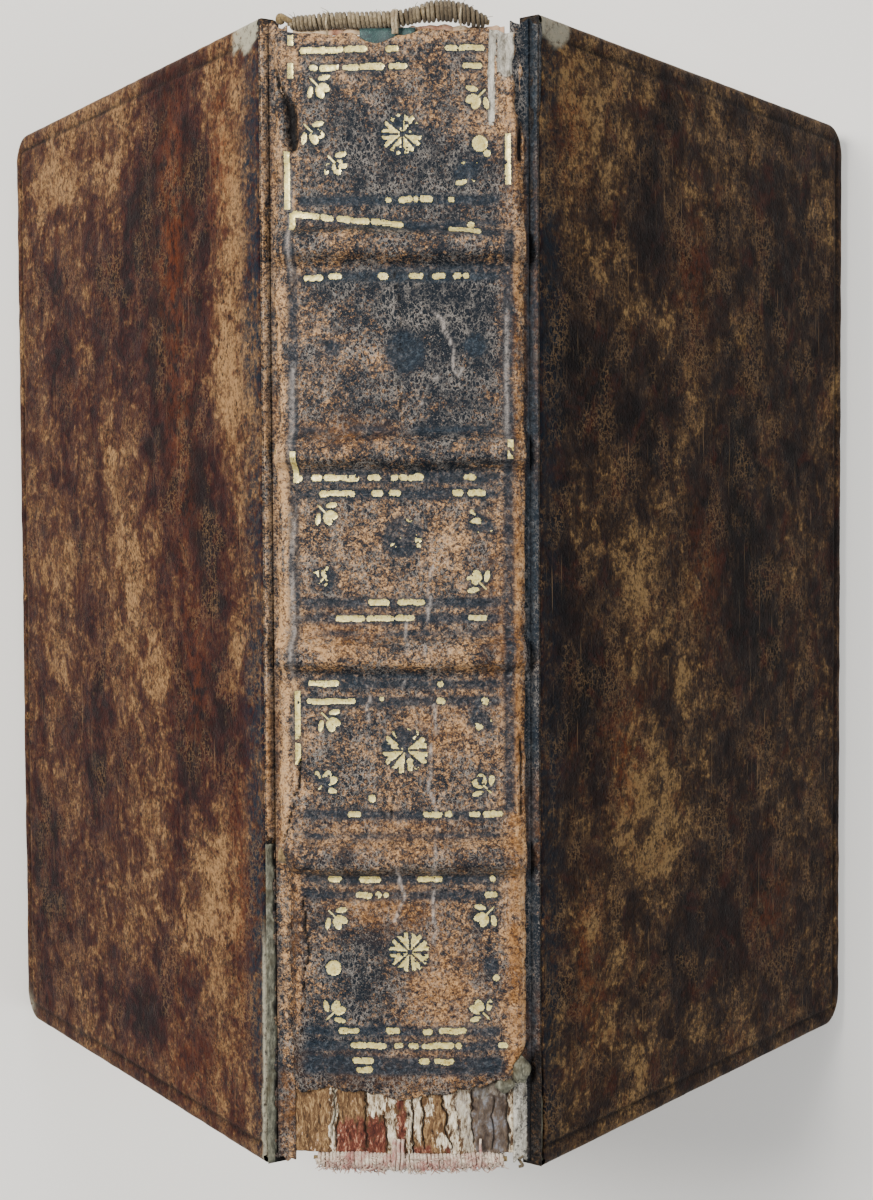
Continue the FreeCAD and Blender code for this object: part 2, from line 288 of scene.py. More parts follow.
class Shader:
    """A node material, built with short calls. Lengths in its textures are in millimetres."""

    def __init__(self, name):
        self.material = bpy.data.materials.new(name)
        self.material.use_nodes = True
        self.tree = self.material.node_tree
        self.tree.nodes.clear()
        self.coords = self.tree.nodes.new("ShaderNodeTexCoord").outputs["Object"]

    def node(self, kind, inputs=None, **settings):
        node = self.tree.nodes.new(kind)
        for key, value in settings.items():
            setattr(node, key, value)
        for key, value in (inputs or {}).items():
            if isinstance(value, bpy.types.NodeSocket):
                self.tree.links.new(value, node.inputs[key])
            else:
                node.inputs[key].default_value = value
        return node

    def place(self, stretch, offset=(0, 0, 0)):
        mapping = self.node(
            "ShaderNodeMapping",
            {"Vector": self.coords, "Scale": [1 / (MM * k) for k in stretch], "Location": offset},
        )
        return mapping.outputs[0]

    def noise(self, size, detail=4.0, rough=0.55, distort=0.0, stretch=(1, 1, 1), offset=0.0):
        vector = self.place([size * k for k in stretch], (offset, offset * 0.7, offset * 1.3))
        node = self.node(
            "ShaderNodeTexNoise",
            {"Vector": vector, "Scale": 1.0, "Detail": detail, "Roughness": rough, "Distortion": distort},
        )
        return node.outputs[0]

    def cells(self, size, feature="F1", stretch=(1, 1, 1), randomness=1.0, offset=0.0, warp=0.0):
        vector = self.place([size * k for k in stretch], (offset, offset, offset))
        if warp:
            drift = self.node("ShaderNodeTexNoise", {"Vector": vector, "Scale": 1.7, "Detail": 3.0}).outputs["Color"]
            scaled = self.node("ShaderNodeVectorMath", {0: drift, 3: warp}, operation="SCALE").outputs[0]
            vector = self.node("ShaderNodeVectorMath", {0: vector, 1: scaled}, operation="ADD").outputs[0]
        node = self.node(
            "ShaderNodeTexVoronoi", {"Vector": vector, "Scale": 1.0, "Randomness": randomness}, feature=feature
        )
        return node.outputs["Distance"]

    def attribute(self, name):
        return self.node("ShaderNodeAttribute", attribute_name=name).outputs["Fac"]

    def range(self, value, low, high, to_low=0.0, to_high=1.0):
        inputs = {0: value, 1: low, 2: high, 3: to_low, 4: to_high}
        return self.node("ShaderNodeMapRange", inputs).outputs[0]

    def math(self, operation, a, b):
        return self.node("ShaderNodeMath", {0: a, 1: b}, operation=operation).outputs[0]

    def times(self, a, b):
        return self.math("MULTIPLY", a, b)

    def plus(self, a, b):
        return self.math("ADD", a, b)

    def mix(self, factor, a, b):
        a, b = [colour(v) if isinstance(v, str) else v for v in (a, b)]
        node = self.node("ShaderNodeMix", {0: factor, 6: a, 7: b}, data_type="RGBA", blend_type="MIX")
        return node.outputs[2]

    def ramp(self, value, stops):
        node = self.node("ShaderNodeValToRGB", {0: value})
        elements = node.color_ramp.elements
        while len(elements) < len(stops):
            elements.new(0.5)
        for element, (position, text) in zip(elements, stops):
            element.position = position
            element.color = colour(text)
        return node.outputs[0]

    def finish(self, base, roughness, bumps=(), **constants):
        """The surface. bumps are (height socket, depth in millimetres) pairs; constants are the shader's own."""
        normal = None
        for height, depth in bumps:
            inputs = {"Height": height, "Distance": depth * MM, "Strength": 1.0}
            if normal:
                inputs["Normal"] = normal
            normal = self.node("ShaderNodeBump", inputs).outputs[0]
        inputs = {"Base Color": base, "Roughness": roughness}
        if normal:
            inputs["Normal"] = normal
        inputs.update(constants)
        surface = self.node("ShaderNodeBsdfPrincipled", inputs)
        output = self.tree.nodes.new("ShaderNodeOutputMaterial")
        self.tree.links.new(surface.outputs[0], output.inputs[0])
        return self.material


def board_calf(name, offset, stops, dusk):
    """Mottled and sprinkled calf. Attributes: tone (blotches), rust, joint, fillet, edge, bare."""
    m = Shader(name)
    clouds = m.noise(8, 6, 0.62, 0.7, (1, 1.05, 1), offset)
    fibre = m.noise(0.42, 3, 0.7, 0.5, (1, 1.5, 1), offset + 3)
    flecks = m.noise(1.2, 5, 0.76, 0.3, (1, 1.05, 1), offset + 5)
    blotches = m.range(m.noise(4.6, 5, 0.7, 0.8, (1, 1, 1), offset + 7), 0.42, 0.58, -0.3, 0.3)
    blend = m.plus(m.range(clouds, 0.34, 0.66, -0.36, 0.36), m.times(m.attribute("tone"), 1.7))
    blend = m.plus(blend, blotches)
    grainy = m.range(blend, -0.6, 0.3, 0.35, 1.0)
    blend = m.plus(blend, m.times(grainy, m.range(flecks, 0.36, 0.64, -0.4, 0.4)))
    blend = m.plus(blend, m.times(grainy, m.range(fibre, 0.3, 0.7, -0.26, 0.26)))
    base = m.ramp(m.range(blend, -0.95, 0.95), stops)
    rust = m.times(m.range(m.noise(5, 5, 0.7, 0.5, (1, 1, 1), offset + 9), 0.54, 0.66), 0.45)
    base = m.mix(rust, base, "3a160c")
    worn = m.times(m.attribute("rust"), m.range(m.noise(1.8, 5, 0.75, 0.2, (1, 1.2, 1), offset), 0.42, 0.6))
    base = m.mix(m.times(worn, 0.75), base, "5c2a0d")
    speckle = m.range(m.noise(0.55, 4, 0.75, 0.3, (1, 1.1, 1), offset + 19), 0.49, 0.58)
    base = m.mix(m.times(m.times(speckle, grainy), 0.62), base, "14110f")
    specks = m.range(m.cells(0.7, "F1", (1, 1, 1), 1.0, offset), 0.4, 0.2)
    speck_area = m.range(m.noise(5, 4, 0.65, 0, (1, 1.5, 1), offset + 13), 0.42, 0.58)
    base = m.mix(m.times(m.times(specks, speck_area), 0.85), base, "0d0809")
    inky = m.times(m.attribute("joint"), m.range(m.noise(1.1, 5, 0.75, 0.3, (1, 1.2, 1), offset), 0.38, 0.58))
    base = m.mix(inky, base, dusk)
    craze = m.range(m.cells(0.9, "DISTANCE_TO_EDGE", (1, 1.1, 1), 1.0, offset + 2, 1.6), 0.1, 0.02)
    craze_area = m.range(m.noise(6, 4, 0.65, 0, (1, 1.4, 1), offset + 17), 0.48, 0.62)
    base = m.mix(m.times(m.times(craze, craze_area), 0.3), base, "8a6c48")
    scratches = m.range(m.noise(0.34, 2, 0.5, 0.1, (1, 30, 1), offset + 21), 0.68, 0.76)
    base = m.mix(m.times(scratches, 0.3), base, "8f724f")
    base = m.mix(m.times(m.attribute("fillet"), 0.8), base, "070404")
    edge_wear = m.times(m.attribute("edge"), m.range(m.noise(1.6, 4, 0.7, 0.3, (1, 1, 1), offset), 0.46, 0.62))
    base = m.mix(m.times(edge_wear, 0.5), base, "6d533a")
    bare = m.attribute("bare")
    base = m.mix(m.times(bare, m.range(m.noise(0.7, 4, 0.7), 0.3, 0.5)), base, "8f8a78")
    rough = m.range(m.noise(3.5, 3, 0.6), 0.3, 0.7, 0.46, 0.62)
    bumps = ((fibre, 0.06), (flecks, 0.12), (m.noise(0.22, 2, 0.5), 0.04), (specks, -0.03))
    return m.finish(base, rough, bumps, **{"Specular IOR Level": 0.035})


def spine_calf():
    """Rubbed calf on the spine. Attributes: tone, rust, ink, crease, bare, deep."""
    m = Shader("spine_calf_rubbed")
    clouds = m.noise(4.0, 6, 0.65, 0.6, (1, 1, 1), 4)
    fine = m.noise(0.62, 5, 0.8, 0.6, (1, 1, 1), 2)
    grain = m.noise(0.24, 3, 0.7, 0.4, (1, 1, 1), 23)
    blend = m.plus(m.range(clouds, 0.3, 0.7, -0.38, 0.38), m.attribute("tone"))
    blend = m.plus(blend, m.range(fine, 0.36, 0.64, -0.66, 0.66))
    blend = m.plus(blend, m.range(grain, 0.34, 0.66, -0.4, 0.4))
    base = m.ramp(
        m.range(blend, -0.8, 0.8), [
            (0.1, "0a121a"), (0.3, "171b21"), (0.48, "3a2e26"), (0.66, "6d4f34"), (0.94, "b08a5f")
        ]
    )
    pores = m.range(m.cells(0.46, "F1", (1, 1, 1), 1.0, 1), 0.38, 0.16)
    pore_area = m.range(m.noise(2.6, 4, 0.65, 0, (1, 1, 1), 8), 0.38, 0.56)
    base = m.mix(m.times(m.times(pores, pore_area), 0.8), base, "10161d")
    craze = m.range(m.cells(0.66, "DISTANCE_TO_EDGE", (0.9, 1.3, 1), 1.0, 6, 1.6), 0.12, 0.02)
    craze_area = m.range(m.noise(3.0, 4, 0.65, 0.3, (1, 1.3, 1), 12), 0.44, 0.6)
    hair = m.range(m.noise(0.34, 3, 0.6, 1.8, (1, 1.3, 1), 31), 0.57, 0.64)
    pale = m.math("MAXIMUM", m.times(craze, craze_area), m.times(hair, 0.7))
    base = m.mix(m.times(pale, 0.4), base, "aca296")
    rust = m.times(m.attribute("rust"), m.range(m.noise(1.6, 5, 0.75, 0.3), 0.36, 0.56))
    base = m.mix(m.times(rust, 0.75), base, m.ramp(fine, [(0.36, "2e190c"), (0.62, "87561f")]))
    # Blue-black from ink, and along the bands' feet from painted band shadow as well
    darkening = m.times(m.attribute("darkening"), m.range(m.noise(0.7, 5, 0.78, 0.4), 0.28, 0.46))
    base = m.mix(m.times(darkening, 0.92), base, m.ramp(fine, [(0.35, "0a1117"), (0.52, "17212a"), (0.68, "444e55")]))
    base = m.mix(m.times(m.attribute("crease"), m.range(fine, 0.36, 0.52)), base, "a99f96")
    paper_tone = m.ramp(m.noise(0.8, 4, 0.7, 0.3, (1, 3, 1), 3), [(0.34, "5a5449"), (0.6, "b9b3a5")])
    base = m.mix(m.range(m.plus(m.attribute("bare"), m.range(fine, 0.3, 0.7, -0.3, 0.3)), 0.35, 0.55), base, paper_tone)
    # Painted shade: near black where the leather is cracked, along the bottom of the joints' grooves and gaps, and on
    # the boards' edges in the joint
    base = m.mix(m.attribute("hollow_shade"), base, "050303")
    rough = m.range(m.noise(1.4, 3, 0.6), 0.3, 0.7, 0.44, 0.66)
    bumps = ((fine, 0.14), (pores, -0.05), (pale, 0.03), (grain, 0.04))
    return m.finish(base, rough, bumps, **{"Specular IOR Level": 0.13})


def gold_leaf():
    m = Shader("gold_leaf_worn")
    patches = m.noise(0.5, 3, 0.7, 0.2)
    base = m.ramp(patches, [(0.3, "a08a45"), (0.5, "cdbd74"), (0.7, "e2d69c")])
    base = m.mix(m.range(m.noise(0.16, 2, 0.6), 0.62, 0.72), base, "6f5a35")
    return m.finish(base, m.range(patches, 0.3, 0.7, 0.5, 0.36), ((patches, 0.03),), **{"Metallic": 0.35})


def paper(name, base_tone, shade, stain_name=None, fox=0.35):
    """Laid paper: laid lines, foxing, and an optional stain attribute in red."""
    m = Shader(name)
    laid = m.node(
        "ShaderNodeTexWave",
        {"Vector": m.place((1, 1, 1)), "Scale": 0.35, "Distortion": 0.4, "Detail": 1.0},
        bands_direction="Y",
    ).outputs["Fac"]
    mottle = m.noise(7, 4, 0.65)
    base = m.mix(m.range(mottle, 0.3, 0.7), base_tone, shade)
    base = m.mix(m.times(laid, 0.1), base, shade)
    spots = m.times(m.range(m.noise(1.5, 4, 0.7, 0, (1, 1, 1), 5), 0.63, 0.75), fox)
    base = m.mix(spots, base, "8d6a3c")
    if stain_name:
        stain = m.times(m.attribute(stain_name), m.range(m.noise(1.1, 4, 0.7), 0.25, 0.5, 0.45, 1.0))
        base = m.mix(stain, base, "8f3432")
        base = m.mix(m.times(m.attribute("soil"), 0.7), base, "6d5238")
    else:
        base = m.mix(m.attribute("soil"), base, "7a5a38")
    bumps = ((m.noise(0.25, 3, 0.7), 0.02), (laid, 0.008))
    return m.finish(base, m.range(mottle, 0.3, 0.7, 0.8, 0.92), bumps, **{"Specular IOR Level": 0.2})


def thread_material(name, base_tone, shade, dirt, plies=0.18, soiled_from=None):
    """Plied thread or cord, from fine slanting strands. Past soiled_from, in mm along x, it is darker."""
    m = Shader(name)
    strands = m.noise(plies, 3, 0.6, 0.8, (1, 2.4, 1))
    base = m.mix(m.range(strands, 0.35, 0.65), shade, base_tone)
    base = m.mix(m.times(m.range(m.noise(2.0, 4, 0.7), 0.4, 0.65), 0.8), base, dirt)
    if soiled_from is not None:
        along = m.node("ShaderNodeSeparateXYZ", {"Vector": m.coords}).outputs["X"]
        base = m.mix(m.range(along, soiled_from * MM, (soiled_from + 3) * MM, 0.0, 0.6), base, dirt)
    return m.finish(base, 0.85, ((strands, 0.07),), **{"Specular IOR Level": 0.2, "Sheen Weight": 0.15})


def ribbon_silk():
    m = Shader("ribbon_silk_teal")
    weave = m.node(
        "ShaderNodeTexChecker", {
            "Vector": m.place((0.16, 0.16, 0.16)), "Scale": 1.0, "Color1": colour("17403b"),
            "Color2": colour("0f2c29")
        }
    ).outputs["Color"]
    base = m.mix(m.range(m.noise(1.4, 4, 0.7), 0.35, 0.65), weave, colour("0f2426"))
    base = m.mix(m.range(m.noise(0.3, 3, 0.7), 0.58, 0.7), base, "3b625a")
    return m.finish(base, 0.6, ((m.noise(0.16, 2, 0.6), 0.05),), **{"Sheen Weight": 0.4, "Sheen Roughness": 0.35})


def pasteboard():
    m = Shader("pasteboard_grey")
    fibres = m.noise(0.5, 4, 0.75, 0.3, (1, 2.5, 1))
    base = m.ramp(fibres, [(0.3, "2e2d26"), (0.5, "57564a"), (0.7, "85826f")])
    base = m.mix(m.range(m.noise(2.4, 3, 0.6), 0.5, 0.7), base, "403b2c")
    base = m.mix(m.attribute("shadow"), base, "060404")
    return m.finish(base, 0.9, ((fibres, 0.15),), **{"Specular IOR Level": 0.15})


def tail_scraps():
    """Bare folds and linings at the tail. Attributes: white, brown, red, grey, dark."""
    m = Shader("tail_scraps_paper")
    fine = m.noise(0.42, 5, 0.8, 0.6, (1, 3.5, 1))
    blots = m.noise(1.1, 4, 0.7, 0.3, (1, 1.6, 1), 14)
    base = m.ramp(fine, [(0.36, "22170f"), (0.5, "5c432b"), (0.64, "9c7f56")])
    fray = m.plus(m.range(fine, 0.34, 0.66, -0.5, 0.5), m.range(blots, 0.36, 0.64, -0.35, 0.35))
    red = m.range(m.plus(m.attribute("red"), fray), 0.4, 0.75)
    base = m.mix(m.times(red, 0.85), base, m.ramp(fine, [(0.4, "260c0b"), (0.54, "57231c"), (0.64, "a5765f")]))
    white = m.range(m.plus(m.attribute("white"), fray), 0.55, 0.9)
    base = m.mix(white, base, m.ramp(fine, [(0.38, "5f4d38"), (0.5, "b0a085"), (0.62, "d9d0bb")]))
    base = m.mix(
        m.times(m.attribute("grey"), 0.85), base,
        m.ramp(blots, [(0.35, "2c2522"), (0.52, "4c443e"), (0.68, "6d7076")])
    )
    # Painted shade: near black in the slits between strips, in the hole and under the leather's torn edge
    base = m.mix(m.attribute("gap_shade"), base, "080505")
    return m.finish(base, 0.86, ((fine, 0.1), (m.noise(0.2, 2, 0.6), 0.03)), **{"Specular IOR Level": 0.2})


def studio_floor():
    m = Shader("floor_pale")
    base = m.mix(m.noise(60, 2, 0.5), "d9d6d0", "dddad4")
    return m.finish(base, 0.85, **{"Specular IOR Level": 0.2})


BACK_STOPS = [(0.1, "12070a"), (0.3, "260e0f"), (0.5, "3b2016"), (0.7, "5b4028"), (0.92, "866542")]
FRONT_STOPS = [(0.1, "080405"), (0.34, "150b0a"), (0.54, "24170f"), (0.74, "3f2d1b"), (0.94, "6c5434")]
BACK_CALF = board_calf("board_calf_back", 0.0, BACK_STOPS, "101a24")
FRONT_CALF = board_calf("board_calf_front", 31.0, FRONT_STOPS, "0b1118")
SPINE_CALF = spine_calf()
GOLD = gold_leaf()
LEAF_PAPER = paper("leaf_paper_laid", "d8cba9", "c4b38b", "stain")
PASTED_PAPER = paper("pastedown_paper_laid", "d3c39c", "bfa978", None, 0.5)
LINING_PAPER = paper("lining_paper_waste", "c9bd9f", "a8946c", None, 0.4)
HEMP = thread_material("hemp_cord_twisted", "8f7a52", "5e4c2f", "3f301f", 0.3)
LINEN = thread_material("linen_thread_plied", "b3a589", "7d6d50", "5b4830")
HEAD_THREAD = thread_material("endband_thread_head", "938468", "5c4e38", "33281c", soiled_from=3.0)
TAIL_THREAD = thread_material("endband_thread_tail", "d2c4b1", "8c7b69", "84403c")
SILK = ribbon_silk()
BOARD_CORE = pasteboard()
SCRAPS = tail_scraps()
FLOOR = studio_floor()


# Boards

RIM = 1.0  # rounding of the leather over the board's outer edge
INNER_RIM = 0.8
CORNER_STEPS = 7


def spots(y, u, places):
    """Sum of soft elliptical blotches, each (y, u, half length, half width, strength)."""
    total = np.zeros(np.broadcast(y, u).shape)
    for at_y, at_u, long, wide, strength in places:
        total += strength * np.exp(-(((y - at_y) / long) ** 2) - ((u - at_u) / wide) ** 2)
    return total


# Blotches on the boards: (y, u, half length, half width, lighter or darker)
BACK_TONES = (
    (60, 10, 22, 7, 0.26), (36, 11, 16, 6, 0.2), (56, 24, 14, 9, -0.42), (50, 34, 18, 10, -0.42), (66, 46, 8, 10, 0.2),
    (63, 70, 9, 12, 0.26), (28, 32, 16, 8, -0.4), (42, 54, 18, 9, -0.12), (36, 72, 12, 8, -0.3), (14, 20, 13, 7, -0.5),
    (21, 10, 9, 5, 0.3), (4, 45, 12, 8, 0.25), (-9, 73, 14, 8, 0.12), (2, 13, 8, 6, -0.3), (-6, 8, 8, 5, 0.45),
    (-20, 22, 12, 8, -0.5), (-16, 12, 12, 6, -0.25), (-12, 40, 10, 7, 0.25), (-26, 52, 14, 9, -0.3),
    (-44, 78, 18, 10, -0.2), (-40, 44, 12, 9, 0.25), (-40, 15, 14, 7, 0.4), (-62, 40, 8, 14, -0.3),
    (-60, 20, 10, 9, -0.1), (-64, 8, 8, 4, 0.3), (60, 84, 10, 5, 0.25),
)
FRONT_TONES = (
    (68, 5, 6, 6, 0.3), (60, 16, 8, 8, 0.36), (50, 26, 8, 8, -0.35), (54, 9, 8, 6, 0.18), (42, 20, 8, 8, 0.3),
    (30, 9, 14, 8, -0.4), (22, 26, 12, 8, -0.3), (15, 14, 8, 6, 0.32), (3, 6, 14, 4, -0.2), (33, 32, 8, 6, 0.22),
    (50, 62, 12, 12, -0.12), (26, 74, 20, 9, -0.16), (8, 56, 20, 10, -0.42), (0, 26, 8, 8, 0.34),
    (-17, 12, 12, 8, -0.36),
    (-12, 42, 9, 7, 0.24), (-8, 62, 12, 10, -0.3), (-27, 21, 9, 6, 0.34), (-36, 34, 10, 8, 0.24),
    (-46, 14, 12, 5, 0.34),
    (-48, 48, 14, 12, -0.3), (-36, 76, 14, 9, 0.1), (-57, 68, 9, 10, -0.1), (-63, 26, 8, 8, 0.22),
    (-66, 48, 6, 12, 0.1),
    (-60, 6, 10, 4, 0.2),
)
BACK_RUST = (
    (50, 28, 20, 5, 0.9), (57, 12, 8, 3, 0.9), (20, 26, 14, 4, 0.6), (-12, 22, 10, 4, 0.7), (-38, 8, 14, 3, 0.7),
    (-66, 22, 6, 10, 0.5)
)
FRONT_RUST = (
    (60, 8, 8, 4, 0.6), (44, 40, 10, 5, 0.5), (-22, 22, 10, 4, 0.7), (-50, 12, 12, 4, 0.6), (-50, 64, 8, 8, 0.5),
    (2, 44, 10, 5, 0.5)
)


def board_leather(name, side, material, tones, rusts):
    """Calf over one board: outer face, rounded edges and turn-ins, as one skin."""
    seed = 5 if side > 0 else 11
    straight_y, straight_u = HALF_COVER - CORNER, COVER_END - CORNER
    reach = CORNER - RIM
    fractions = np.arange(1, CORNER_STEPS + 1) / CORNER_STEPS
    ys = np.concatenate(
        [
            -(straight_y + reach * fractions[::-1]), np.linspace(-straight_y, straight_y, 241),
            straight_y + reach * fractions
        ]
    )
    us = np.concatenate([[JOINT_GROOVE], np.linspace(JOINT_GROOVE, straight_u, 148), straight_u + reach * fractions])
    y, u = np.meshgrid(ys, us, indexing="ij")
    a, b = np.clip((np.abs(y) - straight_y) / reach, 0, 1), np.clip((u - straight_u) / reach, 0, 1)
    corner = (a > 0) & (b > 0)
    y = np.where(corner, np.sign(y) * (straight_y + reach * a * np.sqrt(1 - b**2 / 2)), y)
    u = np.where(corner, straight_u + reach * b * np.sqrt(1 - a**2 / 2), u)
    # The joint edge draws back where the leather is cracked off the board
    if side > 0:
        lost = 0.5 * step(-57, -61, y) + 0.5 * step(60, 64, y)
    else:
        lost = 0.35 * step(-30, -35, y) + 0.35 * step(-60, -70, y)
    lost = lost * (1 + 0.35 * noise(y / 1.3, 0, seed)) + 0.12 * noise(y / 0.9, 3, seed) + 0.12
    u = u + np.clip(lost, 0.02, 3) * step(JOINT_GROOVE + 8, JOINT_GROOVE, u)

    edge = np.minimum(HALF_COVER - np.abs(y), COVER_END - u)
    fillet = bell(edge - 2.5 - 0.12 * noise(y / 9, u / 9, seed), 0.32)
    lift = 0.13 * fbm(y, u, 26, 2, seed) + 0.05 * fbm(y, u, 7, 2, seed + 1) + 0.02 * fbm(y, u, 1.6, 2, seed + 2)
    lift = lift - 0.2 * fillet - 0.1 * step(4.5, 0.5, u - JOINT_GROOVE) + 0.06 * bell(edge - 3.3, 0.5)
    scores = bell(u - 31 - 0.1 * y - 0.5 * noise(y / 9, 0, seed + 6), 0.25) * step(0.1, 0.5, noise(y / 12, 4, seed))
    lift = lift - 0.06 * scores
    w = COVER_OUT - 0.12 + np.clip(lift, -0.6, 0.12)
    w[:, 0] = BOARD_OUT + 0.04  # the cut edge along the joint

    tone = spots(y, u, tones) + 0.22 * fbm(y, u, 14, 3, seed + 3, 0.6)
    rust = np.clip(spots(y, u, rusts), 0, 1)
    darkening = 0.9 * bell(u - 3.6, 2.8) * (0.62 + 0.5 * noise(y / 11, 0, seed + 8)) + 0.5 * step(7, 0, u - 1.5)
    chip = y + 0.9 * noise(u / 1.6, y / 3, seed) - 0.25 * np.abs(u - 5)
    bare = step(69.6, 70.1, chip) * step(8.6, 8.0, u + 0.5 * noise(y / 1.4, 0, seed)) * (1 if side < 0 else 0.6)
    bare = np.maximum(bare, 1.2 * bell(np.hypot(y + 72.5, u - 89.5), 2.6) * (side < 0))
    bare = np.maximum(bare, step(0.55, 0.1, u - JOINT_GROOVE - lost) * step(-40, -48, y) * (side < 0))
    worn = step(1.7, 0.1, edge) * (0.7 + 0.3 * noise(y / 5, u / 5, seed + 4))

    # Rings run from the tail edge round the fore-edge to the head edge, then over the rim and the turn-in.
    rows, columns = y.shape
    index = np.arange(rows * columns).reshape(rows, columns)
    loop = np.concatenate([index[0, 1:], index[1:, -1], index[-1, -2:0:-1]])
    flat_y, flat_u, flat_w = y.ravel(), u.ravel(), w.ravel()
    loop_y, loop_u, loop_w = flat_y[loop], flat_u[loop], flat_w[loop]
    bend = (np.abs(loop_y) > straight_y + 1e-6) & (loop_u > straight_u + 1e-6)
    on_fore = (loop_u > COVER_END - RIM - 1e-6) & ~bend
    profile = [
        (
            RIM * (1 - math.sin(t)), -RIM * (1 - math.cos(t)), 1 - t / (math.pi / 2)
        ) for t in np.linspace(0, math.pi / 2, 7)[1:]
    ]
    low = TURN_IN_IN + INNER_RIM + 0.03
    profile += [(0.0, level - COVER_OUT, 0.0) for level in np.linspace(COVER_OUT - RIM, low, 4)[1:]]
    profile += [
        (
            INNER_RIM * (1 - math.cos(t)), low - INNER_RIM * math.sin(t) - COVER_OUT, 0.0
        ) for t in np.linspace(0, math.pi / 2, 5)[1:]
    ]
    inner = low - INNER_RIM - COVER_OUT
    profile += [(d, inner + 0.02, 0.0) for d in np.linspace(INNER_RIM, TURN_IN_WIDTH + 0.7, 10)[1:]]
    profile += [(TURN_IN_WIDTH + 0.75, BOARD_IN - COVER_OUT - 0.02, 0.0)]
    rings, ring_attributes = [], []
    wobble = noise(np.arange(len(loop)) / 4.0, 0, seed + 20)
    for inset, drop, keep in profile:
        radius = max(CORNER - inset, 0.4)
        centre_y, centre_u = HALF_COVER - inset - radius, COVER_END - inset - radius
        ring_y = np.sign(loop_y) * (HALF_COVER - inset)
        ring_u = JOINT_GROOVE + (loop_u - JOINT_GROOVE) * (centre_u - JOINT_GROOVE) / (straight_u - JOINT_GROOVE)
        ring_y = np.where(on_fore, loop_y * centre_y / straight_y, ring_y)
        ring_u = np.where(on_fore, COVER_END - inset, ring_u)
        turn = np.arctan2(loop_u - straight_u, np.abs(loop_y) - straight_y)
        ring_y = np.where(bend, np.sign(loop_y) * (centre_y + radius * np.cos(turn)), ring_y)
        ring_u = np.where(bend, centre_u + radius * np.sin(turn), ring_u)
        ring_w = COVER_OUT + drop + keep * (loop_w - COVER_OUT) + 0.05 * wobble * (inset < 3)
        if inset > TURN_IN_WIDTH:
            ring_y = ring_y + np.where(on_fore | bend, 0, np.sign(loop_y) * 0.5 * wobble)
            ring_u = ring_u + np.where(on_fore, 0.5 * wobble, 0)
        rings.append(np.stack([ring_w, ring_y, ring_u], axis=-1))
        ring_attributes.append(np.full(len(loop), max(0.0, 1 - abs(inset - 0.2) / 0.9)))
    rings = np.concatenate(rings)
    all_w = np.concatenate([flat_w, rings[:, 0]])
    all_y = np.concatenate([flat_y, rings[:, 1]])
    all_u = np.concatenate([flat_u, rings[:, 2]])
    faces = quads(rows, columns)
    first = rows * columns
    strip = quads(len(profile), len(loop)) + first
    n = np.arange(len(loop) - 1)
    seam = np.stack([loop[n], loop[n + 1], first + n + 1, first + n], axis=-1)
    rim_faces = np.concatenate([seam, strip])
    faces = np.concatenate([faces, rim_faces[:, ::-1]])
    if side < 0:
        faces = faces[:, ::-1]

    def ringed(values, fallback=None):
        repeat = np.tile(values.ravel()[loop], len(profile)) if fallback is None else fallback
        return np.concatenate([values.ravel(), repeat])

    zeros = np.zeros(len(rings))
    attributes = {
        "tone": ringed(tone), "rust": ringed(rust), "joint": ringed(np.clip(darkening, 0, 1)),
        "fillet": ringed(fillet, zeros),
        "edge": ringed(worn, np.concatenate(ring_attributes)), "bare": ringed(np.clip(bare, 0, 1)),
    }
    piece = list_piece(
        name, from_closed(all_w, all_y, all_u, side), faces, material, attributes=attributes
    )
    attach(piece, f"{side_word(side)}_cover")
    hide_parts(f"{side_word(side)}_cover_leather")
    return piece


def board_spine_edge(name, side, y_low, y_high, material, attributes):
    """What covers a board's edge along the joint: leather, or where that is lost, bare pasteboard."""
    y, w = np.meshgrid(
        np.linspace(y_low, y_high, max(8, int((y_high - y_low) / 0.5))), np.linspace(1.72, 4.6, 12), indexing="ij"
    )
    u = JOINT_GROOVE - 0.05 + 0.02 * noise(y / 0.8, w / 0.8, 33)
    faces = quads(*y.shape)
    depth = step(3.75, 3.35, w + 0.25 * noise(y / 1.6, 0, 34))
    looks = {key: value * (depth if key == "shadow" else np.ones(y.shape)) for key, value in attributes.items()}
    piece = mesh_piece(name, from_closed(w, y, u, side), faces, material, looks)
    thicken(piece, 0.05, 0.0)
    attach(piece, f"{side_word(side)}_cover")


board_leather("front_board_calf", 1, FRONT_CALF, FRONT_TONES, FRONT_RUST)
board_leather("back_board_calf", -1, BACK_CALF, BACK_TONES, BACK_RUST)
# Painted shade on the boards' edges inside the joint: near black, stronger on the front board
board_spine_edge("front_board_spine_edge", 1, -73.0, 73.0, SPINE_CALF, {"hollow_shade": 0.85, "tone": -0.2})
board_spine_edge("back_board_spine_edge", -1, -31.5, 73.0, SPINE_CALF, {"hollow_shade": 0.4, "tone": 0.0})
board_spine_edge("back_board_bare_edge", -1, -73.0, -31.5, BOARD_CORE, {"shadow": 1.0})


# Spine tooling: impressions on a fine grid of cells, in millimetres

CELL = 0.1
TOOL_S = np.arange(-16.5, 16.5, CELL)
TOOL_Y = np.arange(-64.0, 73.0, CELL)
tooled = np.zeros((len(TOOL_Y), len(TOOL_S)))
gilded = np.zeros((len(TOOL_Y), len(TOOL_S)), bool)
GRID_S, GRID_Y = np.meshgrid(TOOL_S, TOOL_Y)
WEAR = fbm(GRID_S, GRID_Y, 1.1, 3, 71) * 0.5 + 0.5

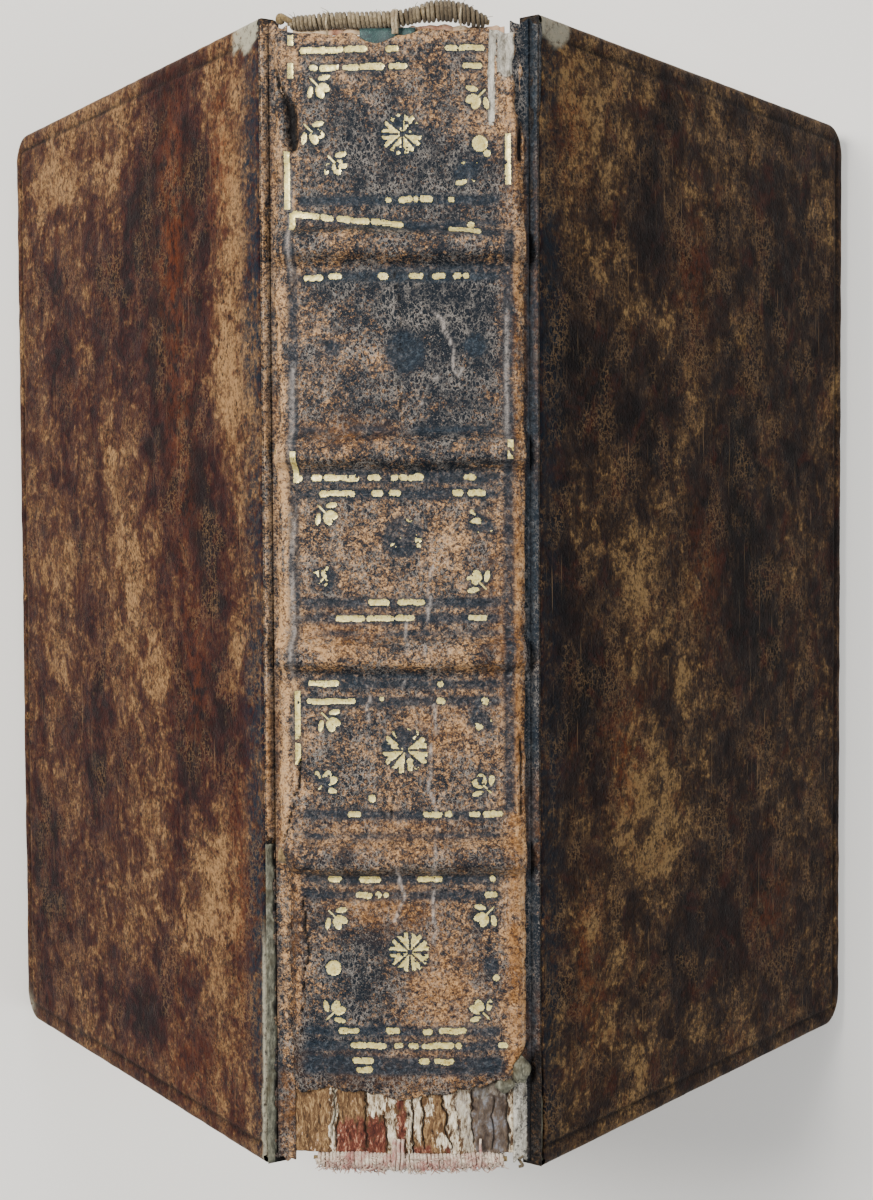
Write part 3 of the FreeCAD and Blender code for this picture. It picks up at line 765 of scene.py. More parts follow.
# Fillets: a line's Y, its slope, and the X ranges that still hold their gold. The rest is an inked groove.
FILLETS = (
    (68.6, 0, ((-12.3, -6.9), (-6.7, -4.0), (-1.4, 0.0), (6.0, 7.3), (7.7, 10.7))),
    (66.4, 0, ((-11.1, -10.3), (-9.8, -7.5), (-6.9, -5.0), (-4.7, -1.8), (-1.1, 1.0), (8.2, 10.4))),
    (49.9, 0, ((-1.5, -1.0), (0.1, 1.6), (2.0, 2.3), (2.8, 4.2), (6.3, 6.9))),
    (48.3, -0.11, ((-13.4, -10.1), (-9.8, -8.4), (-7.7, -5.4), (-5.3, -3.8), (-3.4, -2.4), (-2.1, 0.4), (6.3, 10.1))),
    (40.4, 0, ((-12.0, -9.8), (-8.8, -7.4), (-2.5, -1.5), (1.4, 2.9), (4.3, 5.7), (6.9, 7.7), (8.1, 8.7))),
    (
        15.2, 0,
        ((-13.5, -12.6), (-11.2, -10.1), (-9.6, -5.4), (-4.0, -2.6), (-1.1, -0.4), (0.0, 0.8), (1.1, 2.8), (8.1, 9.4))
    ),
    (13.2, 0, ((-10.2, -5.9), (-3.5, -2.3), (-1.3, -0.1), (6.7, 7.8), (8.6, 10.7))),
    (-0.5, 0, ((-4.0, -1.6), (-0.3, 2.9))),
    (-2.5, 0, ((-8.2, -4.7), (-4.3, -1.0), (-0.6, 1.6), (8.6, 10.8))),
    (-10.8, 0, ((-11.8, -8.1), (4.7, 5.2))),
    (-13.0, 0, ((-12.0, -6.0), (4.6, 5.4), (10.3, 10.9))),
    (-27.4, 0, ((-6.8, -5.3), (2.8, 5.0), (5.5, 6.2), (8.6, 9.8), (10.4, 12.7))),
    (-35.7, 0, ((-9.4, -7.9), (-5.4, -2.9), (2.0, 5.0), (11.3, 11.7))),
    (-37.7, 0, ((-5.9, -4.0), (-3.3, -2.8), (-2.3, -1.9), (10.6, 11.9))),
    (-55.2, 0, ((-8.2, -5.8), (-2.1, -0.6), (2.6, 3.6), (4.7, 7.9))),
    (-57.1, 0, ((-6.7, -2.3), (-1.1, -0.1), (0.8, 1.8), (2.5, 6.3), (6.8, 7.3), (12.2, 13.2))),
    (-59.1, 0, ((-6.4, -4.0), (2.1, 3.2), (4.0, 6.3))),
    (-60.2, 0, ((-5.9, -4.1),)),
)
# Upright lines: X, Y from and to, and 1 where the gold is left
UPRIGHTS = (
    (-13.6, 70.7, 69.4, 1), (-13.6, 67.2, 65.3, 1), (-14.1, 56.2, 49.0, 1), (13.7, 58.1, 51.8, 1),
    (-13.5, 48.5, 46.4, 1),
    (-13.3, 18.6, 14.7, 1), (13.7, 19.9, 17.5, 1), (-13.3, -11.7, -21.1, 1), (-13.5, 44, -10, 0), (13.7, 46, -27, 0),
)
# Corner sprigs: X, Y of the stem's end, the two directions that it grows in, and the gold left
SPRIGS = (
    (-11.1, 65.2, 1, -1, 1.0), (-11.9, 59.5, 1, -1, 0.85), (-9.0, 55.6, 1, -1, 0.6), (11.0, 63.6, -1, -1, 0.8),
    (9.6, 52.0, -1, 1, 0.35),
    (-10.5, 11.8, 1, -1, 0.9), (11.2, 10.8, -1, -1, 0.08), (-10.8, 1.6, 1, 1, 0.16), (10.9, 1.0, -1, 1, 0.75),
    (-10.3, -14.4, 1, -1, 0.85), (11.2, -14.2, -1, -1, 0.12), (-10.8, -24.4, 1, 1, 0.5), (11.4, -24.8, -1, 1, 0.5),
    (-9.6, -39.7, 1, -1, 1.0), (11.6, -39.3, -1, -1, 0.95), (-9.9, -53.9, 1, 1, 1.0), (11.0, -53.7, -1, 1, 0.85),
)
# A sprig's stem, tip and side leaves: distance along it, across it, half length, half width, lean
SPRIG_PARTS = (
    (1.0, 0, 1.0, 0.13, 0), (2.15, 0.4, 0.78, 0.5, 0.3), (2.15, -0.4, 0.78, 0.5, -0.3),
    (1.25, 1.25, 0.75, 0.34, 1.0), (1.25, -1.25, 0.75, 0.34, -1.0),
)
# Centre flowers: X, Y, radius, petals that keep their gold
FLOWERS = (
    (0.5, 58.0, 2.5, (1, 3, 4, 5, 6, 7)), (0.4, 7.8, 2.5, ()), (0.5, -19.2, 2.9, (0, 3, 4, 5, 7)),
    (0.9, -45.0, 2.5, (0, 1, 2, 3, 4, 5, 6, 7)),
)
# Discs: X, Y, radius, and 1 where the gold is left
DISCS = (
    (10.2, 56.8, 1.0, 1), (11.1, 55.6, 0.45, 1), (-3.8, -25.4, 0.5, 1), (-2.5, -12.7, 0.3, 1), (-8.9, -47.2, 1.0, 1),
    (11.3, -46.7, 0.8, 0),
    (11.9, -48.4, 0.4, 1), (-8.6, 31.5, 0.9, 0), (0.6, 31.0, 2.2, 0), (9.6, 31.8, 1.2, 0), (9.0, 46.7, 0.45, 1),
)


def stamp(inside, keep):
    """Marks cells as tooled, and as gilt where the leaf holds. keep is the share of gold left."""
    tooled[inside] = 1
    gilded[inside & (WEAR < 0.34 + 0.5 * keep)] = bool(keep)


def ellipse(x, y, long, short, angle):
    dx, dy = GRID_S - x, GRID_Y - y
    along, across = dx * math.cos(angle) + dy * math.sin(angle), dy * math.cos(angle) - dx * math.sin(angle)
    return (along / long) ** 2 + (across / short) ** 2 < 1 + 0.25 * (WEAR - 0.5)


def tool_spine():
    for y, slope, ranges in FILLETS:
        line_y = y + slope * (GRID_S - ranges[0][0] if slope else 0) + 0.1 * noise(GRID_S / 1.1, y, 73)
        ragged = 0.37 + 0.22 * (WEAR - 0.5) + 0.05 * noise(GRID_S / 0.5, y, 74)
        on_line = np.abs(GRID_Y - line_y) < ragged
        tooled[on_line & (np.abs(GRID_S) < 12.6) & (np.abs(GRID_Y) < 62)] = 0.75
        for low, high in ranges:
            ends = np.hypot(np.maximum(0, np.maximum(low + 0.3 - GRID_S, GRID_S - high + 0.3)), GRID_Y - line_y)
            stamp(on_line & (ends < 0.42 + 0.16 * (WEAR - 0.5)), 0.95)
    for x, y_high, y_low, keep in UPRIGHTS:
        inside = (np.abs(GRID_S - x) < 0.34 + 0.12 * (WEAR - 0.5)) & (GRID_Y < y_high) & (GRID_Y > y_low)
        stamp(inside, 0.85 if keep else 0)
    for x, y, to_x, to_y, keep in SPRIGS:
        turn = math.atan2(to_y, to_x)
        for away, sideways, long, short, lean in SPRIG_PARTS:
            px = x + away * math.cos(turn) - sideways * math.sin(turn)
            py = y + away * math.sin(turn) + sideways * math.cos(turn)
            stamp(ellipse(px, py, long, short, turn + lean), keep)
    for x, y, radius, petals in FLOWERS:
        dx, dy = GRID_S - x, GRID_Y - y
        distance, angle = np.hypot(dx, dy), np.arctan2(dy, dx)
        for petal in range(8):
            off = (angle - (petal + 0.5) * math.pi / 4 + math.pi) % (2 * math.pi) - math.pi
            rim = radius * (1 - 0.2 * bell(off, 0.08) + 0.05 * np.cos(12 * off + petal) + 0.1 * (WEAR - 0.5))
            inside = (distance > 0.35) & (distance < rim) & (np.abs(off) * distance < 0.31 * distance - 0.06)
            stamp(inside, 0.8 if petal in petals else 0.02)
    for x, y, radius, keep in DISCS:
        stamp(np.hypot(GRID_S - x, GRID_Y - y) < radius * (1 + 0.2 * (WEAR - 0.5)), keep)


tool_spine()


def blurred(grid, cells, passes=3):
    """Box blur of a grid, repeated."""
    width = 2 * cells + 1
    for _ in range(passes):
        for axis in (0, 1):
            padded = np.moveaxis(grid, axis, 0)
            total = np.cumsum(
                np.concatenate(
                    [np.zeros((1,) + padded.shape[1:]), np.pad(padded, ((cells, cells), (0, 0)), mode="edge")]
                ),
                axis=0
            )
            padded = (total[width:] - total[:-width]) / width
            grid = np.moveaxis(padded, 0, axis)
    return grid


pressed = blurred(tooled, 1, 2)
halo = np.clip(blurred(tooled, 3, 3) * 3.2, 0, 1)


def sample(grid, s, y):
    """A grid's value at points on the spine, by the four cells round each."""
    column = np.clip((s - TOOL_S[0]) / CELL, 0, len(TOOL_S) - 1.001)
    row = np.clip((y - TOOL_Y[0]) / CELL, 0, len(TOOL_Y) - 1.001)
    c, r = column.astype(int), row.astype(int)
    fc, fr = column - c, row - r
    low = grid[r, c] * (1 - fc) + grid[r, c + 1] * fc
    high = grid[r + 1, c] * (1 - fc) + grid[r + 1, c + 1] * fc
    return low * (1 - fr) + high * fr


# Cracks in the spine leather: points along each, its half width and its depth
CRACKS = (
    (((-16.4, 71.0), (-15.9, 66.0), (-14.3, 62.5), (-13.7, 59.5), (-13.6, 56.6)), 0.42, 1.0),
    (((-13.4, 61.8), (-13.1, 58.8), (-13.3, 56.8)), 0.6, 1.2),
    (((15.1, 71.5), (14.9, 66.0), (15.2, 59.6), (15.3, 55.0)), 0.36, 1.0),
    (((-12.8, -20.5), (-13.4, -24.5), (-14.3, -27.0), (-14.9, -31.0)), 0.12, 0.5),
    (((15.0, -17.5), (15.3, -22.0), (15.2, -27.5)), 0.16, 0.5),
    (((-12.6, -38.0), (-12.4, -46.0), (-12.9, -52.0), (-13.0, -57.0)), 0.14, 0.4),
    (((-0.6, 41.0), (0.3, 35.0), (-0.3, 28.0), (0.7, 21.0)), 0.09, 0.2),
    (((-1.2, -31.0), (-1.6, -28.0), (-0.9, -24.5)), 0.1, 0.3),
)
# Pale creases: points along each
CREASES = (
    ((4.0, -44.0), (4.6, -30.0), (3.6, -24.0), (4.4, -14.0), (3.2, -6.0), (4.0, 4.0)),
    ((-4.4, -11.0), (-3.9, -14.5), (-4.6, -18.0)),
    ((0.4, -2.0), (0.9, -7.0), (0.1, -12.0)),
    ((2.6, 24.0), (4.4, 28.0), (6.2, 27.0), (8.2, 29.0)),
    ((4.6, 36.0), (6.4, 33.0), (7.0, 28.0)),
    ((-1.0, -33.0), (0.2, -38.0), (-0.8, -41.0)),
)


def near_path(s, y, path):
    """Distance from points to a path of straight runs."""
    best = np.full(np.shape(s), 1e9)
    for (s0, y0), (s1, y1) in zip(path[:-1], path[1:]):
        ds, dy = s1 - s0, y1 - y0
        t = np.clip(((s - s0) * ds + (y - y0) * dy) / (ds * ds + dy * dy), 0, 1)
        best = np.minimum(best, np.hypot(s - s0 - t * ds, y - y0 - t * dy))
    return best


def spine_left(y):
    """The leather's edge on the back side, drawn back where the joint has cracked."""
    lost = 1.25 * step(-29, -34, y) + 0.5 * step(-54, -62, y)
    return -HALF_SPINE - 0.1 + lost + 0.12 * noise(y / 1.1, 1, 40) + 0.15 * noise(y / 4, 2, 41)


def spine_right(y):
    return HALF_SPINE + 0.1 - 0.35 * step(56, 62, y) - 1.2 * step(-57.5, -60, y) + 0.12 * noise(y / 1.2, 1, 43)


def band_rise(s, y):
    """How far the leather is raised over the cords, and how close a band's foot is."""
    rise, foot = 0.0, 0.0
    for number, band in enumerate(BANDS):
        off = np.abs(y - band - 0.16 * noise(s / 5, number, 50))
        rise = rise + step(2.75, 0.75, off)
        foot = foot + bell(off - 2.75, 0.55)
    return rise, foot


def spine_parts(s, y):
    """Height of the spine leather's surface, painted shade in its cracks, and the wear of its creases, each from 0 to
    1.
    """
    rise, foot = band_rise(s, y)
    height = LEATHER_TOP - 0.12 + (1.78 + 0.12 * noise(s / 6, y / 6, 52)) * rise - 0.1 * foot
    height = height + 0.12 * fbm(s, y, 12, 2, 53) + 0.07 * fbm(s, y, 3.4, 2, 54) + 0.028 * fbm(s, y, 1.0, 2, 55)
    height = height - 0.09 * sample(pressed, s, y)
    edge = np.minimum(s - spine_left(y), spine_right(y) - s)
    height = (
        height + 0.22 * bell(edge - 1.3, 0.9) * (1 - 0.7 * rise) - 0.45 * step(0.9, 0.0, edge)
        - 0.35 * rise * step(2.4, 0.2, edge)
    )
    hollow_shade = np.zeros(np.shape(height))
    wander = 0.28 * noise(y / 1.4, s / 2, 56)
    for path, width, depth in CRACKS:
        mark = bell(near_path(s + wander, y, path), width)
        height = height - depth * mark
        height = height + 0.16 * bell(near_path(s + wander, y, path) - 2.2 * width, width * 1.3)
        # Painted shade: a crack is coloured near black where it is deep
        hollow_shade = np.maximum(hollow_shade, step(0.35, 0.8, mark) * min(1, 0.6 + depth))
    crease = np.zeros(np.shape(height))
    for path in CREASES:
        mark = bell(near_path(s + 1.6 * wander, y, path), 0.16)
        crease = np.maximum(crease, mark * step(-0.5, 0.5, noise(s * 2, y / 1.6, 57)))
    height = np.maximum(height - 0.05 * crease, 1.52)
    return height, hollow_shade, crease, rise, foot


# Blotches on the spine: (y, s, half length, half width, lighter or darker)
# The long thin dark blotches at y 46.6, 20.8, 16.6, -4.6, -9.5 and -34.5 run along the bands' edges: partly ink, partly
# painted band shadow
SPINE_TONES = (
    (60, -6, 8, 6, -0.1), (56, -3, 7, 8, -0.42), (52, 5, 6, 8, -0.4), (70, 0, 2.5, 12, 0.25), (62, 3, 3, 4, 0.15),
    (61, 11, 7, 3, 0.2),
    (46, 0, 2.2, 12, 0.1), (36, 7, 7, 7, -0.75), (40, -4, 4, 8, -0.5), (27, 4, 8, 10, -0.45), (33, -9, 4, 5, 0.1),
    (30, -2, 2, 2, 0.5),
    (22, 0, 2.0, 13, -0.1), (19, -5, 2.5, 8, 0.1), (9, -5, 6, 6, 0.35), (8, 5, 6, 6, 0.3), (3, 0, 6, 9, 0.12),
    (12, 3, 3, 8, -0.1),
    (-4, -8, 4, 6, 0.25), (-7, -3, 3, 10, 0.1), (-7, 8, 3, 5, 0.2), (-9.5, 0, 1.0, 13, -0.6), (-16, 5, 6, 7, 0.32),
    (-20, -4, 7, 7, -0.05),
    (-30, 0, 3, 12, 0.1), (-34.5, 0, 1.3, 13, -0.4), (-39, -3, 2.5, 6, 0.4), (-45, -5, 5, 5, -0.42),
    (-43, 8, 7, 5, 0.1),
    (-52, 4, 6, 5, 0.42), (-52, -5, 5, 5, -0.35), (-60, 4, 4, 8, 0.1), (-61, -6, 2.5, 4, -0.5),
    (46.6, -3, 1.0, 11, -0.6),
    (20.8, 0, 1.0, 13, -0.45), (16.6, 0, 0.8, 13, -0.6), (-4.6, 0, 1.0, 12, -0.3), (-61.2, 0, 2.0, 13, -0.5),
    (-46, -14.2, 10, 1.3, -0.6), (-59, -13.5, 4, 2.5, -0.7), (5, 0, 10, 12, -0.16),
)
SPINE_RUST = (
    (21, -7, 1.6, 5, 0.8), (-4, -8, 3, 5, 0.7), (-5, 13, 12, 2.5, 0.7), (-39, -2, 3, 7, 0.8), (-50, 5, 7, 5, 0.6),
    (-48, 14.4, 16, 1.3, 1.0),
    (-30, 0, 3, 12, 0.4), (-16, 5, 4, 4, 0.4), (-44, -14, 12, 1.2, 0.5), (56, 14.6, 6, 1.5, 0.6),
    (30, 14.5, 16, 1.2, 0.9), (3, 14.5, 14, 1.0, 0.9), (-22, 14.6, 14, 1.1, 1.0), (-60, 0, 2.5, 13, 0.5),
)


def spine_head(s):
    """The leather's head edge, torn a little lower over the ribbon."""
    return (
        71.15 - 0.75 * window(s, -5.1, 2.3, 0.9) - 1.1 * bell(s + 2.5, 1.9) - 0.35 * step(4, 10, s)
        - 0.5 * bell(s + 8.5, 3.4) + 0.16 * noise(s / 0.8, 0, 60) + 0.2 * noise(s / 3, 0, 61)
    )


def spine_tail(s):
    """The torn tail edge, lowest in the middle."""
    edge = -62.4 - 1.5 * bell(s + 1, 7.5) + 0.9 * step(8, 12, s) - 0.8 * step(-10, -13, s)
    return edge + 0.24 * noise(s / 0.7, 0, 62) + 0.35 * noise(s / 2.6, 0, 63)


SPINE_THICKNESS = 0.42


def spine_skin():
    rows, columns = 452, 106
    tail, head = -62.6, 71.0
    v, t = np.meshgrid(np.linspace(0, 1, rows), np.linspace(0, 1, columns), indexing="ij")
    y = tail + v * (head - tail)
    s = spine_left(y) + t * (spine_right(y) - spine_left(y))
    y = y + (spine_tail(s) - tail) * step(0.06, 0, v) + (spine_head(s) - head) * step(0.96, 1, v)
    height, hollow_shade, crease, rise, foot = spine_parts(s, y)
    torn = np.maximum(step(1.2, 0.0, y - spine_tail(s)), step(0.8, 0.0, spine_head(s) - y))
    height = height - 0.3 * torn - 0.12 * step(3.0, 0.0, y - spine_tail(s)) * (1 + noise(s / 2, y / 2, 64))
    slip = (
        step(11.3, 11.7, s + 0.25 * noise(y / 3, 0, 65)) * step(12.5, 12.1, s + 0.25 * noise(y / 3, 0, 65))
        * step(58.3, 60.5, y)
    )
    patch = step(12.3, 12.7, s) * step(14.7, 14.4, s) * step(64.0, 67.0, y + 0.8 * noise(s * 1.4, 0, 66))
    bare = np.clip(np.maximum(slip, patch), 0, 1)
    height = height - 0.3 * bare - 0.25 * step(12.3, 13.0, s) * step(57.5, 60.5, y)
    panel = (
        step(13.0, 11.5, np.abs(s)) * step(2.8, 4.2, np.min([np.abs(y - band) for band in BANDS], axis=0))
        * step(70.4, 68.9, y) * step(-62, -60, y)
    )
    rubbed = (
        0.14 * step(0.5, 0.9, rise) * step(0.1, 0.6, noise(s / 3, y / 2, 68))
        + 0.3 * step(1.5, 0.6, np.abs(np.abs(s) - 15))
    )
    tone = spots(y, s, SPINE_TONES) + 0.2 * fbm(s, y, 6, 3, 67) + 0.16 + 0.3 * rubbed - 0.26 * panel
    left_strip, right_strip = step(-12.2, -13.2, s), step(13.0, 14.2, s)
    streaks = noise(s * 2.2, y / 4.5, 75)
    tone = (
        tone - 0.12 * rise + left_strip * (0.1 + 0.4 * noise(y / 9, 0, 69) + 0.6 * streaks)
        + right_strip * (0.1 + 0.4 * streaks)
    )
    tone = tone - 0.3 * step(0.4, 0.9, rise) * step(-0.3, 0.5, noise(s / 4, y / 2.5, 76))
    pale = (
        0.7 * bell(s + 13.7 - 0.2 * noise(y / 5, 0, 77), 0.24) * window(y, -24, 57, 3)
        * step(-0.35, 0.25, noise(y / 4, 0, 78))
    )
    pale = np.maximum(pale, 0.7 * bell(s - 13.5, 0.22) * window(y, 20, 36, 2))
    crease = np.maximum(crease, pale)
    # Ink halos round the tooling, and along each band's foot a dark line that is partly ink and partly painted band
    # shadow
    darkening = np.maximum(
        sample(halo, s, y) * 0.95, 0.95 * foot * step(-0.6, 0.2, noise(s / 4, y / 9, 70)) * step(14, 12, np.abs(s))
    )
    darkening = np.maximum(darkening, 0.8 * bell(s + 13.8, 0.45) * step(0.0, 0.4, noise(y / 6, 0, 72)) * step(-30, -20, y))
    attributes = {
        "tone": tone, "rust": np.clip(spots(y, s, SPINE_RUST), 0, 1), "darkening": np.clip(darkening, 0, 1),
        "crease": 0.75 * crease,
        "bare": bare, "hollow_shade": np.clip(hollow_shade, 0, 1),
    }
    piece = mesh_piece(
        "spine_calf_skin", from_spine(s, y, height), quads(rows, columns), SPINE_CALF, attributes
    )
    thicken(piece, SPINE_THICKNESS)
    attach(piece, "spine")
    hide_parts("spine_leather")


spine_skin()


def spine_gilding():
    """The gold that is left, as leaf cells that lie on the leather."""
    rng = np.random.default_rng(7)
    s, y = GRID_S + rng.normal(0, 0.022, GRID_S.shape), GRID_Y + rng.normal(0, 0.022, GRID_S.shape)
    rows, columns = gilded.shape
    keep = gilded[:-1, :-1] & (rng.random((rows - 1, columns - 1)) > 0.012)
    height = spine_parts(s, y)[0] + 0.035
    piece = mesh_piece("spine_gold_tooling", from_spine(s, y, height), quads(rows, columns, keep), GOLD)
    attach(piece, "spine")


spine_gilding()


# Joints: the leather between the spine's edge and each board, as two strips that share the groove's line

JOINT_SPINE_SIDE = ((14.2, 1.7), (14.8, 1.6), (15.4, 1.4), (16.0, 1.34), (16.6, 1.42))  # (s, height)
JOINT_BOARD_SIDE = ((3.6, 1.18), (3.95, 1.22), (4.3, 1.3), (4.5, 1.58), (4.47, 2.1), (4.45, 2.7))  # (w, u)
JOINT_THICKNESS = {"spine_edge": 0.34, "board_edge": 0.2}
# Points on the strips' line at the spine's side, the groove and the board's side; nothing uses the points made from
# them
SPINE_END, GROOVE_LINE = (14.9, 1.6), (16.5, 1.4)  # (s, height)
BOARD_END = (4.5, 1.55)  # (w, u)


def row_xz(points):
    """X and Z of the only point in a from_ result."""
    return [float(points[..., 0].ravel()[0]), float(points[..., 2].ravel()[0])]


def resampled(path, spacing):
    """Points at even spacing along a polyline, with their distances."""
    path = np.asarray(path, float)
    lengths = np.concatenate([[0], np.cumsum(np.linalg.norm(np.diff(path, axis=0), axis=1))])
    at = np.linspace(0, lengths[-1], max(2, int(lengths[-1] / spacing) + 1))
    return np.stack([np.interp(at, lengths, path[:, k]) for k in range(path.shape[1])], axis=-1), at


def facing_up(points, faces, index):
    """Faces turned over as a whole if the one at index looks down."""
    a, b, c = (points.reshape(-1, 3)[faces[index, k]] for k in (0, 1, 2))
    return faces if np.cross(b - a, c - a)[2] > 0 else faces[:, ::-1]


def joint_strips(side):
    word = side_word(side)
    seed = 80 if side > 0 else 90
    spine_path = [row_xz(from_spine(s, 0, height)) for s, height in JOINT_SPINE_SIDE]
    board_path = [row_xz(from_closed(w, 0, u, 1)) for w, u in JOINT_BOARD_SIDE]
    y_rows = np.linspace(-72.7, 72.5, 430)
    start_at = 0.0
    for part, path in (("spine_edge", spine_path), ("board_edge", spine_path[-1:] + board_path)):
        section, at = resampled(path, 0.16)
        y, at_grid = np.meshgrid(y_rows, at + start_at, indexing="ij")
        x, z = (np.broadcast_to(section[:, k], y.shape) for k in (0, 1))
        along = np.gradient(section, axis=0)
        along /= np.linalg.norm(along, axis=1, keepdims=True)
        groove = bell(at_grid - 2.5, 0.7)
        lift = 0.1 * fbm(y, at_grid, 5, 2, seed) + 0.07 * fbm(y, at_grid, 1.3, 2, seed + 1, 0.5)
        if side > 0:
            gap = step(-57, -60.5, y + 0.7 * noise(at_grid * 2, 0, seed))
            lift = lift - 0.45 * gap * bell(at_grid - 2.7, 1.1) - 0.25 * groove * step(30, 50, y)
        else:
            gap = np.zeros(y.shape)
            lift = lift - 0.3 * groove * (0.5 + 0.5 * noise(y / 7, 0, seed))
        lift = (
            lift * step(0.0, 0.6, at_grid)
            * (step(at[-1] + start_at, at[-1] + start_at - 1.0, at_grid) if part == "board_edge" else 1)
        )
        ends = step(71.0, 72.5, np.abs(y)) * (0.5 * noise(at_grid / 0.6, np.sign(y), seed + 9) - 0.3)
        points = np.stack([x - along[:, 1] * lift, y + np.sign(y) * ends, z + along[:, 0] * lift], axis=-1)
        points[..., 0] *= side
        keep = None
        if part == "board_edge":
            middle_y, middle_at = y[:-1, :-1], at_grid[:-1, :-1]
            torn = step(-29.5, -33.5, middle_y) if side < 0 else step(-58, -60, middle_y)
            loss = 3.6 - 2.76 * torn + 0.35 * noise(middle_y / 0.9, 0, seed + 3)
            keep = (torn < 0.05) | (middle_at < np.maximum(loss, 2.45 + 0.25 * noise(middle_y / 0.8, 0, seed + 4)))
            if side > 0:
                keep &= ~((middle_y < -59.5) & (middle_at > 2.7))
        darkening = groove * (0.7 if side > 0 else 0.55) + 0.25 * noise(y / 6, at_grid, seed + 5) * bell(at_grid - 2.6, 1.5)
        if side > 0:
            darkening = darkening + 0.45 * step(1.8, 2.4, at_grid) * step(-12, 2, y)
        tone = (
            0.15 * fbm(y, at_grid, 9, 2, seed + 6) + (0.22 if side < 0 else -0.75)
            + 0.3 * noise(at_grid * 2.5, y / 5, seed + 8) - 0.55 * step(-52, -60, y)
        )
        # Painted shade: near black along the bottom of the groove, and in the front joint's cracked gap near the tail
        hollow_shade = 0.75 * bell(at_grid - 2.55, 0.28) * (0.75 if side > 0 else 0.6) + gap * bell(at_grid - 2.6, 0.9)
        bare = 0.55 * step(-60.5, -62, y) * step(2.1, 1.7, at_grid) if side > 0 else np.zeros(y.shape)
        attributes = {
            "tone": tone, "darkening": np.clip(darkening, 0, 1), "bare": bare, "hollow_shade": np.clip(hollow_shade, 0, 1),
            "rust": np.clip(0.8 * noise(y / 8, 0, seed + 7), 0, 1)
        }
        faces = quads(*y.shape, keep)
        piece = mesh_piece(
            f"{word}_joint_{part}", points, facing_up(points, faces, len(faces) // 2), SPINE_CALF,
            attributes
        )
        thicken(piece, JOINT_THICKNESS[part])
        spine_point, groove_point = (from_spine(side * s, 0, height) for s, height in (SPINE_END, GROOVE_LINE))
        board_point = from_closed(BOARD_END[0], 0, BOARD_END[1], side)
        if part == "spine_edge":
            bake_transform(piece)
        else:
            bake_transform(piece)
        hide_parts(f"{word}_joint_leather")
        start_at = at[-1]


joint_strips(1)
joint_strips(-1)


# Tail of the spine: bare folds, torn linings and scraps of leather

# (s from, s to, y from, y to, kind, height). Tan is the scraps' own colour.
SCRAP_STRIPS = (
    (-14.4, -9.8, -72, -61, "tan", 0.22), (-9.8, -8.8, -72, -61, "white", 0.08), (-8.8, -4.8, -72, -67.2, "red", 0.0),
    (-4.8, -2.4, -66.6, -61, "white", 0.16), (-4.8, -2.4, -72, -66.6, "red", 0.0),
    (-2.4, -1.1, -72, -61, "white", 0.26),
    (-1.1, 0.1, -72, -64, "red", 0.04), (0.1, 1.05, -72, -61, "white", 0.24), (1.15, 2.5, -69.6, -61, "white", 0.14),
    (2.8, 4.0, -66.4, -63.8, "white", 0.05), (3.6, 5.3, -70.4, -68.4, "white", 0.04),
    (5.5, 7.0, -72, -61, "white", 0.3),
    (7.0, 8.9, -72, -61, "white", 0.1), (7.0, 8.9, -72, -61, "grey", 0.0), (8.9, 13.5, -72, -61, "grey", 0.06),
    (8.9, 13.6, -63.9, -61, "white", 0.2), (13.5, 14.5, -72, -61, "white", 0.16),
)
# (s, y from, y to, half width)
SCRAP_SLITS = (
    (-9.3, -69.5, -62, 0.1), (-8.75, -71, -65, 0.07), (-4.85, -71, -62, 0.09), (1.1, -72, -61, 0.09),
    (2.55, -71, -64, 0.08), (5.4, -71, -62, 0.1), (8.95, -70, -63, 0.08), (11.6, -71, -64, 0.07),
    (13.5, -71, -62, 0.12), (-2.4, -71, -66, 0.08)
)


def tail_scrap_skin():
    y, s = np.meshgrid(np.linspace(-71.25, -56.0, 132), np.linspace(-14.5, 14.5, 260), indexing="ij")
    wavy = (
        s + 0.3 * noise(y / 1.9, s / 3, 100) + 0.16 * noise(y / 0.5, s, 101)
        + 0.16 * (y + 67) * step(3, 6, s) * step(10, 8, s)
    )
    looks = {"white": np.zeros(s.shape), "red": np.zeros(s.shape), "grey": np.zeros(s.shape), "gap_shade": np.zeros(s.shape)}
    height = 1.12 + 0.16 * np.sqrt(np.clip(1 - (((s + 1) % 2) - 1) ** 2, 0, 1)) + 0.06 * fbm(s, y, 0.8, 3, 102, 2)
    for low, high, y_low, y_high, kind, rise in SCRAP_STRIPS:
        patch = window(wavy, low, high) * window(y + 0.3 * noise(s / 0.5, 0, 103), y_low, y_high, 0.25)
        height = height + rise * patch
        frayed = window(wavy, low, high, 0.5) * window(y + 0.8 * noise(s / 0.4, 0, 103), y_low, y_high, 1.1)
        if kind in looks:
            looks[kind] = np.maximum(looks[kind], frayed * (0.55 if kind == "grey" and low < 8 else 1))
    looks["red"] = np.maximum(
        looks["red"], 0.7 * step(-69.6, -70.8, y) * step(-0.2, 0.5, noise(s, 0, 104)) * step(10, 7, s)
    )
    # Painted shade: dark under the leather's torn edge, in the slits between the strips and in the hole
    looks["gap_shade"] = np.maximum(
        0.9 * step(-61.2, -60.4, y), 0.55 * step(-64.6, -62.6, y) * step(-0.3, 0.4, noise(s / 1.3, 0, 105))
    )
    for at, y_low, y_high, width in SCRAP_SLITS:
        slit = bell(wavy - at, 1.5 * width) * window(y, y_low, y_high, 0.5)
        looks["gap_shade"] = np.maximum(looks["gap_shade"], slit)
        height = height - 0.3 * slit
    hole = bell(np.hypot(s - 0.6, (y + 66.2) / 1.6), 0.3)
    looks["gap_shade"] = np.maximum(looks["gap_shade"], hole)
    piece = mesh_piece(
        "tail_fold_scraps", from_spine(s, y, height - 0.35 * hole), quads(*s.shape)[:, ::-1], SCRAPS,
        looks
    )
    thicken(piece, 0.12, 1.0)
    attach(piece, "spine")
    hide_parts("spine_lining_5")


